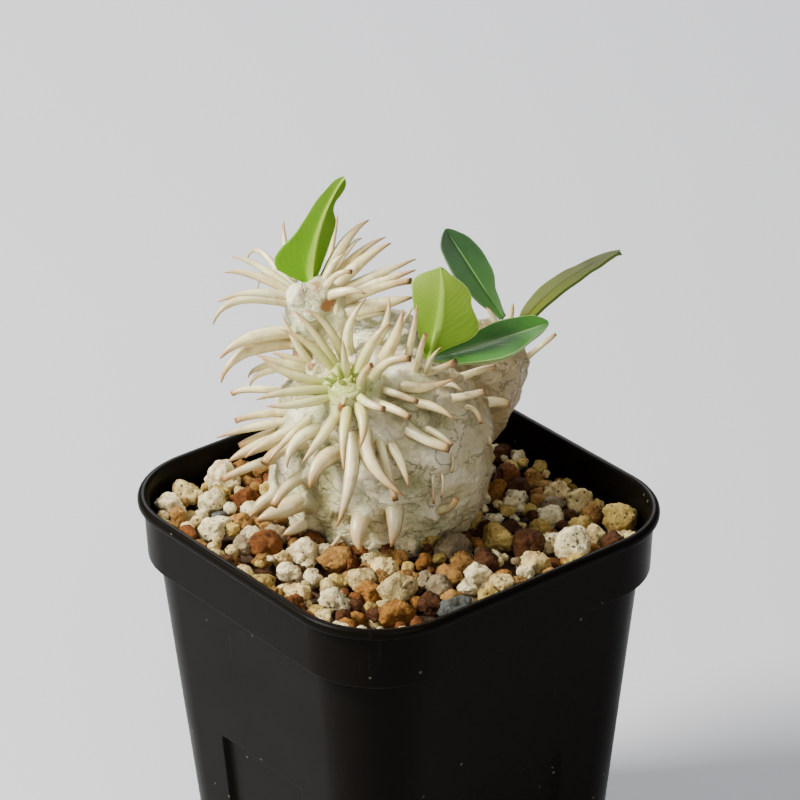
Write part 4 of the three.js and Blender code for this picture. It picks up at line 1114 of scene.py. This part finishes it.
def bark_height(point):
    """Relief of the bark at a point: lumps, knots, folds and sharp creases, in mm."""
    lumps = noise.noise(point / LUMP_SIZE + Vector((3, 1, 7))) * LUMP_HEIGHT
    knots = noise.noise(point / KNOT_SIZE + Vector((11, 5, 2))) * KNOT_HEIGHT
    warp = noise.noise_vector(point / WARP_SIZE)
    grooves = groove_depth(point, warp, FOLDS) + groove_depth(point, warp, CREASES)
    return lumps + knots - grooves + BARK_LIFT


def scar_strength(point, scars):
    """How much a point belongs to an old leaf scar or a stained patch."""
    strength = 0
    for middle, reach, tone in scars:
        gap = (point - middle).length / reach + noise.noise(point / SCAR_GRAIN) * SCAR_RAGGEDNESS
        strength = max(strength, min(max((SCAR_EDGE - gap) * SCAR_SHARPNESS, 0), 1) * tone)
    return strength


def spine_feet(lines):
    """A search tree of the places where spines stand."""
    feet = KDTree(len(lines))
    for index, line in enumerate(lines):
        feet.insert(line["at"], index)
    feet.balance()
    return feet


def spine_cushion(point, feet, lines):
    """How far the bark swells towards the spines near a point, and how close the nearest is, up to 1."""
    swell, cushion = Vector(), 0
    for _, index, distance in feet.find_range(point, TUBERCLE_REACH):
        line = lines[index]
        closeness = 1 - distance / TUBERCLE_REACH
        swell += line["way"] * line["radius"] * TUBERCLE_RISE * closeness ** TUBERCLE_POWER
        cushion = max(cushion, closeness)
    if swell.length > TUBERCLE_LIMIT:
        swell *= TUBERCLE_LIMIT / swell.length
    return swell, cushion


def make_body(lines, bark):
    bm = fused_body()
    data = bm.verts.layers.float_color.new("bark_data")
    bm.normal_update()
    feet = spine_feet(lines)
    scars = [(seen_spot(bark, place), reach, tone) for place, reach, tone in SCARS]
    crown = seen_spot(bark, CROWN_AT)
    moves = []
    for vert in bm.verts:
        height = bark_height(vert.co)
        youth = crown_share(vert.co, crown)
        swell, cushion = spine_cushion(vert.co, feet, lines)
        relief = height * (1 - CUSHION_SMOOTHING * cushion) * (1 - youth)
        moves.append((vert, vert.normal * relief + swell))
        shown = min(max(0.5 + height / RELIEF_SPAN, 0), 1)
        vert[data] = (shown, youth, cushion, scar_strength(vert.co, scars))
    for vert, move in moves:
        vert.co += move
    bmesh.ops.recalc_face_normals(bm, faces=bm.faces)
    piece("plant_body", bm, [bark_skin()], "caudex")


# Spines

def curve_point(points, along):
    foot, knee, tip = points
    return foot * (1 - along) ** 2 + knee * (2 * along * (1 - along)) + tip * along ** 2


def curve_way(points, along):
    foot, knee, tip = points
    return ((knee - foot) * (1 - along) + (tip - knee) * along).normalized()


def spine_radius(line, along):
    """Broken spines widen at the foot; whole ones are thickest above it and then run to a point."""
    if line["broken"]:
        return line["radius"] * (SPINE_FLARE * max(0, 1 - along / FLARE_REACH) + 1 - BROKEN_TAPER * along)
    slim = SPINE_SLIMNESS * max(0, 1 - along / BELLY_AT) ** 2
    return line["radius"] * (BELLY_WIDTH - slim - POINT_TAPER * along ** TAPER_POWER)


def is_hidden(point, bark):
    """Whether the body stands between a point and the reference view."""
    hit, _, _, distance = bark.ray_cast(VIEW_FROM, point - VIEW_FROM)
    return hit is not None and distance < (point - VIEW_FROM).length


def clear_of_leaves(line):
    for leaf in LEAVES.values():
        for row in range(SAMPLE_ROWS + 1):
            for column in range(-SAMPLE_COLUMNS, SAMPLE_COLUMNS + 1):
                sample, _ = leaf_point(leaf, row / SAMPLE_ROWS, column / SAMPLE_COLUMNS)
                for step in range(1, CLEAR_STEPS + 1):
                    along = step / CLEAR_STEPS
                    room = spine_radius(line, along) + LEAF_THICKNESS / 2 + LEAF_CLEARANCE
                    if (sample - curve_point(line["points"], along)).length < room:
                        return False
    return True


def clear_of_pot(line):
    """Whether a spine's tip stays above the rim or well inside the wall."""
    tip = line["points"][2]
    x, y = inside_pot(tip.x, tip.y, POT_ROOM)
    return tip.z > POT_HEIGHT + POT_ROOM or math.hypot(x - tip.x, y - tip.y) < GAP


def seen_lines(bark, rows):
    """Lines of spines that stand where the reference view shows them."""
    lines = []
    for key, row in enumerate(rows):
        foot_at, middle_at, tip_at, (rise, width, broken) = row[0:2], row[2:4], row[4:6], row[6:]
        hit, normal, _, _ = bark.ray_cast(VIEW_FROM, sight(*foot_at))
        depth = (hit - VIEW_FROM).dot(VIEW_AHEAD)
        base = hit - normal * SPINE_SINK
        middle = seen_point(*middle_at, depth - rise * SEEN_BOW)
        tip = seen_point(*tip_at, depth - rise)
        lines.append({
            "at": hit, "way": normal, "points": (base, 2 * middle - (base + tip) / 2, tip),
            "radius": width / 2 * depth / VIEW_LENGTH, "broken": broken, "reach": 1,
            "youth": crown_share(hit, seen_point(*CROWN_AT, depth)), "key": key,
        })
    return lines


def spiral_place(head, index):
    """Foot direction of one pair on a head's spiral."""
    centre, axis, radius, cell, pairs, turn, _ = head
    axis = Vector(axis).normalized()
    across = UP.cross(axis)
    if across.length < 0.1:
        across = Vector((1, 0, 0))
    across.normalize()
    dome_area = math.tau * radius ** 2
    age = index / pairs
    area = (index + 0.5) * cell * (YOUNG_CELL + BARK_GROWTH * age)
    tilt = math.acos(max(0, 1 - area / dome_area))
    drop = max(0, area - dome_area) / (math.tau * radius)
    radial = Quaternion(axis, index * GOLDEN_ANGLE + turn) @ across
    out = axis * math.cos(tilt) + radial * math.sin(tilt)
    return Vector(centre) - axis * drop, out, radial, axis, age


def spiral_lines(bark):
    """Lines of the spines on the side that the reference view doesn't show."""
    lines, feet = [], []
    for number, head in enumerate(HEADS):
        radius, pairs = head[2], head[4]
        clearance = FLANK_CLEARANCE if number == FLANK else PAIR_CLEARANCE
        for index in range(pairs):
            centre, out, radial, axis, age = spiral_place(head, index)
            hit, _, _, _ = bark.ray_cast(centre + out * RAY_START, -out)
            reach = (hit - centre).length / radius
            crowded = any((other - hit).length < clearance for other in feet)
            on_head = HEAD_REACH[0] < reach < HEAD_REACH[1]
            if on_head and not crowded and hit.z > LOWEST_SPINE:
                feet.append(hit)
                pair = [spiral_line(number, index, side, hit, out, radial, axis, age) for side in (0, 1)]
                lines += [line for line in pair if is_hidden(line["points"][2], bark)]
    return lines


def spiral_line(number, index, side, hit, out, radial, axis, age):
    """One spine of a pair: it leans away from the other one, bends outwards and may be broken off."""
    key = number * 100 + index * 2 + side
    tangent = axis.cross(radial)
    lean = (1 if side == 0 else -1) * spread(key, 1, *PAIR_LEAN)
    flank = number == FLANK
    youth = 0 if flank else max(0, 1 - age * YOUNG_PACE)
    size = HEADS[number][6]
    length = SPINE_LENGTH * size * spread(key, 2, *LENGTH_SPREAD) * (1 - YOUNG_SHORTENING * youth)
    radius = SPINE_RADIUS * lerp(LEAST_GIRTH, 1, size) * (1 - YOUNG_THINNING * youth)
    bend = FLANK_BEND if flank else HEAD_BEND
    start = (out + radial * bend["lead"] + tangent * lean).normalized()
    outwards = lerp(bend["young"], bend["old"], age)
    end = out * outwards + radial * bend["splay"] - UP * bend["fall"]
    end += tangent * (lean + spread(key, 3, -END_SWAY, END_SWAY))
    end.normalize()
    base = hit + tangent * math.copysign(PAIR_SPLIT, lean)
    knee = base + start * length * KNEE_AT
    broken = draw(key, 4) < BROKEN_SHARE
    return {
        "at": base, "way": out, "points": (base - out * SPINE_SINK, knee, knee + end * length * TIP_REACH),
        "radius": radius, "broken": broken, "reach": BROKEN_REACH if broken else 1, "youth": youth,
        "key": key + SPIRAL_KEYS,
    }


def straight_spine(broken):
    """A tube of unit length and radius: rows along Z, closed by a cap that a broken end sinks in."""
    bm = bmesh.new()
    bmesh.ops.create_circle(bm, segments=SPINE_SIDES, radius=1)
    ring = list(bm.edges)
    for row in range(1, SPINE_ROWS + 1):
        ring, verts = next_ring(bm, ring)
        for vert in verts:
            vert.co.z = (row / SPINE_ROWS) ** ROW_CROWDING
    cap = bmesh.ops.contextual_create(bm, geom=ring)["faces"]
    if broken:
        bmesh.ops.inset_region(bm, faces=cap, thickness=BROKEN_RIM, depth=0)
        bmesh.ops.translate(bm, verts=cap[0].verts, vec=(0, 0, -BROKEN_SINK))
    bmesh.ops.recalc_face_normals(bm, faces=bm.faces)
    return bm


def bend_spine(bm, line):
    """Lays a straight spine along its line; returns the mark of every vertex for the material."""
    side = curve_way(line["points"], 0).cross(UP).normalized()
    tone = draw(line["key"], 31)
    marks = []
    for vert in bm.verts:
        x, y, along = vert.co
        reach = min(along, 1) * line["reach"]
        centre = curve_point(line["points"], reach)
        way = curve_way(line["points"], reach)
        level = (side - way * side.dot(way)).normalized()
        ripple = noise.noise(centre / RIPPLE_SIZE + Vector((line["key"], x, y)))
        radius = spine_radius(line, along) * (1 + SPINE_RIPPLE * ripple)
        marks.append((along, line["youth"], tone, line["broken"]))
        vert.co = centre + level * (x * radius) + level.cross(way) * (y * radius)
    return marks


def sweep_lines(name, lines, material):
    """One piece that holds a tube bent along every line."""
    whole = bmesh.new()
    data = whole.verts.layers.float_color.new("spine_data")
    for line in lines:
        bm = straight_spine(line["broken"])
        marks = bend_spine(bm, line)
        for vert, mark in zip(absorb(whole, bm), marks):
            vert[data] = mark
    bmesh.ops.recalc_face_normals(whole, faces=whole.faces)
    piece(name, whole, [material], "caudex")


# Leaves

def smooth_value(values, along):
    last = len(values) - 1
    place = min(along * last, last - 1e-6)
    start = int(place)
    corners = [(value, 0) for value in curve_corners(values, start)]
    return catmull_rom(corners, place - start).x


def half_width(leaf, along, across):
    """Half the width of a blade on one side of its midrib, rounded off towards the tip."""
    past = max(0, (along - 1 + leaf["tip_length"]) / leaf["tip_length"])
    width = smooth_value(leaf["left"] if across > 0 else leaf["right"], along)
    return max(width * math.sqrt(max(0, 1 - past ** 2)), LEAST_TIP)


def leaf_point(leaf, along, across):
    """A point on a leaf's middle surface, and the way its upper side looks there."""
    points = [Vector(leaf[name]) for name in ("foot", "bend", "tip")]
    way = curve_way(points, along)
    sideways = Vector(leaf["face"]).cross(way).normalized()
    face = way.cross(sideways).normalized()
    width = half_width(leaf, along, across) * abs(across)
    point = curve_point(points, along)
    point += sideways * math.copysign(width * math.cos(leaf["fold"]), across)
    point += face * width * math.sin(leaf["fold"])
    return point, face


def leaf_surface(leaf):
    """The middle surface of a blade, with a groove along its midrib and a soft ripple."""
    bm = bmesh.new()
    uv = bm.loops.layers.uv.new("blade")
    bmesh.ops.create_grid(bm, x_segments=LEAF_COLUMNS, y_segments=LEAF_ROWS, size=0.5)
    for face in bm.faces:
        for loop in face.loops:
            loop[uv].uv = (loop.vert.co.x + 0.5, loop.vert.co.y + 0.5)
    for vert in bm.verts:
        across, along = -2 * vert.co.x, 1 - (0.5 - vert.co.y) ** TIP_CROWDING
        point, face = leaf_point(leaf, along, across)
        rib = math.exp(-(across / RIB_WIDTH) ** 2) * (1 - RIB_FADE * along) * RIB_DEPTH
        ripple = noise.noise(point / LEAF_RIPPLE_SIZE) * LEAF_RIPPLE * abs(across)
        vert.co = point + face * (ripple - rib)
    bmesh.ops.recalc_face_normals(bm, faces=bm.faces)
    return bm


def make_leaf(name, upper, under):
    """A blade thickened both ways from its middle surface, with a finish for either side."""
    bm = leaf_surface(LEAVES[name])
    bm.faces.ensure_lookup_table()
    upper_way = leaf_point(LEAVES[name], 0.5, 0)[1]
    if bm.faces[len(bm.faces) // 2].normal.dot(upper_way) < 0:
        bmesh.ops.reverse_faces(bm, faces=bm.faces)
    bm.normal_update()
    for vert in bm.verts:
        vert.co += vert.normal * LEAF_THICKNESS / 2
    bmesh.ops.solidify(bm, geom=list(bm.faces), thickness=LEAF_THICKNESS)
    bm.normal_update()
    for face in bm.faces:
        face.material_index = 0 if face.normal.dot(upper_way) > 0 else 1
    blade = piece(name + "_blade", bm, [upper, under], name)
    soften_edges(blade, angle=50, width=0.25, segments=2)


def make_leaves():
    finishes = {name: leaf_skin(name, **values) for name, values in LEAF_FINISHES.items()}
    for name, leaf in LEAVES.items():
        make_leaf(name, finishes[leaf["upper"]], finishes[leaf["under"]])


# Gravel

def stone_top(x, y):
    return STONE_LEVEL - STONE_SLOPE * (x + y)


def inside_pot(x, y, radius):
    """Pulls a stone's middle inside the rounded square of the pot's wall."""
    limit = STONE_EDGE - STONE_CLEARANCE - radius
    corner = max(1, RIM_CORNER - (RIM_HALF - limit))
    beyond_x = max(0, abs(x) - (limit - corner))
    beyond_y = max(0, abs(y) - (limit - corner))
    beyond = math.hypot(beyond_x, beyond_y)
    pull = corner / beyond if beyond > corner else 1
    return (math.copysign(min(abs(x), limit - corner) + beyond_x * pull, x),
            math.copysign(min(abs(y), limit - corner) + beyond_y * pull, y))


def pick_tint(key):
    value = draw(key, 21)
    for name, share in TINT_SHARES:
        value -= share
        if value < 0:
            return name
    return "cream"


def layer_places(spacing):
    """Places of one layer of stones, on a grid of triangles that covers the pot."""
    row_step = spacing * math.sqrt(0.75)
    reach = math.ceil(RIM_HALF / row_step)
    for row in range(-reach, reach + 1):
        for column in range(-reach, reach + 1):
            yield (column + row % 2 / 2) * spacing, row * row_step


def stone_places():
    """Large stones where they show, and then layers of others that keep clear of them and of the body."""
    stones = []
    for x, y, z, radius, tint in LARGE_STONES:
        stones.append({"at": Vector((*inside_pot(x, y, radius), z)), "radius": radius, "tint": tint})
    key = 0
    for layer, (lift, spacing, size) in enumerate(STONE_LAYERS):
        for grid_x, grid_y in layer_places(spacing):
            key += 1
            radius = STONE_RADIUS * size * spread(key, 11, *STONE_SIZES)
            wanted_x = grid_x + spread(key, 12, -STONE_SHIFT, STONE_SHIFT)
            wanted_y = grid_y + spread(key, 13, -STONE_SHIFT, STONE_SHIFT)
            x, y = inside_pot(wanted_x, wanted_y, radius)
            if math.hypot(x - wanted_x, y - wanted_y) > LONGEST_PULL:
                continue
            place = Vector((x, y, stone_top(x, y) + lift + spread(key, 14, *STONE_LIFTS)))
            near_body = (place.xy - BODY_MIDDLE).length < BODY_ROOM + layer
            crowded = any((other["at"] - place).length < LEAST_SPACING * (other["radius"] + radius)
                          for other in stones)
            if not near_body and not crowded:
                stones.append({"at": place, "radius": radius, "tint": pick_tint(key)})
    return stones


def facet_planes(key):
    """Random planes that cut a stone back: the way that each looks, and its depth."""
    planes = []
    for index in range(STONE_FACETS):
        turn, level = spread(key, 30 + index, 0, math.tau), spread(key, 50 + index, -1, 1)
        flat = math.sqrt(1 - level * level)
        way = Vector((flat * math.cos(turn), flat * math.sin(turn), level))
        planes.append((way, spread(key, 70 + index, *FACET_DEPTHS)))
    return planes


def stone_radius(way, planes, shift):
    """How far a worn, faceted stone reaches one way."""
    cuts = [depth / way.dot(plane) for plane, depth in planes if way.dot(plane) > LEAST_FACING]
    return min([1, *cuts]) * (STONE_SWELL + noise.noise(way * LUMP_PITCH + shift) * STONE_LUMPS)


def stone_crumbs(way, shift, crumble):
    """Crumbs that stand out of a stone less the open pits in it."""
    crumbs = noise.noise(way * CRUMB_PITCH + shift) + noise.noise(way * GRIT_PITCH + shift) * GRIT_SHARE
    pit = max(0, noise.noise(way * PIT_PITCH + shift * 2) - PIT_LEVEL) * PIT_DEPTH
    return crumbs * crumble - pit


def shape_stone(bm, stone, key):
    """A ball cut back by random planes, worn, and roughened, as a grain of pumice or baked clay."""
    shift = Vector([spread(key, seed, 0, 90) for seed in (17, 18, 19)])
    planes = facet_planes(key)
    for vert in bm.verts:
        way = vert.co.normalized()
        vert.co = way * stone_radius(way, planes, shift)
    bmesh.ops.smooth_vert(bm, verts=bm.verts, factor=0.5, use_axis_x=True, use_axis_y=True, use_axis_z=True)
    crumble = spread(key, 20, *CRUMB_HEIGHTS)
    for vert in bm.verts:
        way = vert.co.normalized()
        vert.co += way * stone_crumbs(way, shift, crumble)
    flatness, narrowness = spread(key, 15, *STONE_FLATNESS), spread(key, 16, *STONE_NARROWNESS)
    bmesh.ops.scale(bm, verts=bm.verts, vec=(1, narrowness, flatness))
    turn = Matrix.Rotation(spread(key, 25, 0, math.tau), 3, "Z")
    tilt = Matrix.Rotation(spread(key, 26, -STONE_TILT, STONE_TILT), 3, "X")
    bmesh.ops.rotate(bm, verts=bm.verts, matrix=turn @ tilt)
    bmesh.ops.scale(bm, verts=bm.verts, vec=(stone["radius"],) * 3)
    bmesh.ops.translate(bm, verts=bm.verts, vec=stone["at"])


def stone_fineness(stone):
    """Subdivisions of a stone: fewest for the buried ones, most for the large ones on top."""
    if stone["at"].z < stone_top(stone["at"].x, stone["at"].y) - BURIED_DEPTH:
        return 2
    return 4 if stone["radius"] > FINE_RADIUS else 3


def make_stones():
    """Pumice and baked clay grains, each kind as one piece with a tint for every grain."""
    kinds = {kind: bmesh.new() for kind in ("pumice", "clay")}
    tints = {kind: whole.verts.layers.float_color.new("stone_tint") for kind, whole in kinds.items()}
    for key, stone in enumerate(stone_places()):
        kind = "pumice" if stone["tint"] in PUMICE else "clay"
        bm = bmesh.new()
        bmesh.ops.create_icosphere(bm, subdivisions=stone_fineness(stone), radius=1)
        shape_stone(bm, stone, key)
        light = spread(key, 27, *TINT_LIGHTNESS)
        color = (*(channel * light for channel in TINTS[stone["tint"]]), 1)
        for vert in absorb(kinds[kind], bm):
            vert[tints[kind]] = color
    pumice, clay = stone_grain("pumice", 0.55, 0.24), stone_grain("baked_clay", 0.8, 0.05)
    piece("pumice_grains", kinds["pumice"], [pumice], "gravel")
    piece("clay_grains", kinds["clay"], [clay], "gravel")


def make_bed():
    """Fine grit that fills the pot up to the grains."""
    inset = WALL + GAP
    step = STEP_Z + STEP_LIFT + GAP
    bm = swept_section([
        wall_row(FLOOR + GAP, inset, PANEL_DEPTH),
        wall_row(PANEL_TOP + PANEL_SLOPE, inset, PANEL_DEPTH),
        wall_row(PANEL_TOP + 2 * PANEL_SLOPE, inset, 0),
        wall_row(step - STEP_RISE, inset, 0),
        collar_row(step + STEP_RISE, COLLAR_FOOT, inset),
        collar_row(STONE_LEVEL - BED_DEPTH, COLLAR_FOOT, inset),
    ])
    piece("gravel_bed", bm, [dark_soil()], "gravel")


def make_plant():
    """The body, spines, buds and leaves. Spines that would touch a leaf or the pot are left out."""
    lobes = lobe_bmesh(SIGHT_SIDES)
    bark = BVHTree.FromBMesh(lobes)
    lobes.free()
    lines = [line for line in seen_lines(bark, SEEN_SPINES) + spiral_lines(bark)
             if clear_of_leaves(line) and clear_of_pot(line)]
    make_body(lines, bark)
    sweep_lines("spines", lines, spine_horn())
    sweep_lines("young_leaf_tips", seen_lines(bark, [(*row, False) for row in BUDS]), young_leaf())
    make_leaves()


noise.seed_set(NOISE_SEED)
add_camera()
add_studio()
make_pot()
make_bed()
make_stones()
make_plant()
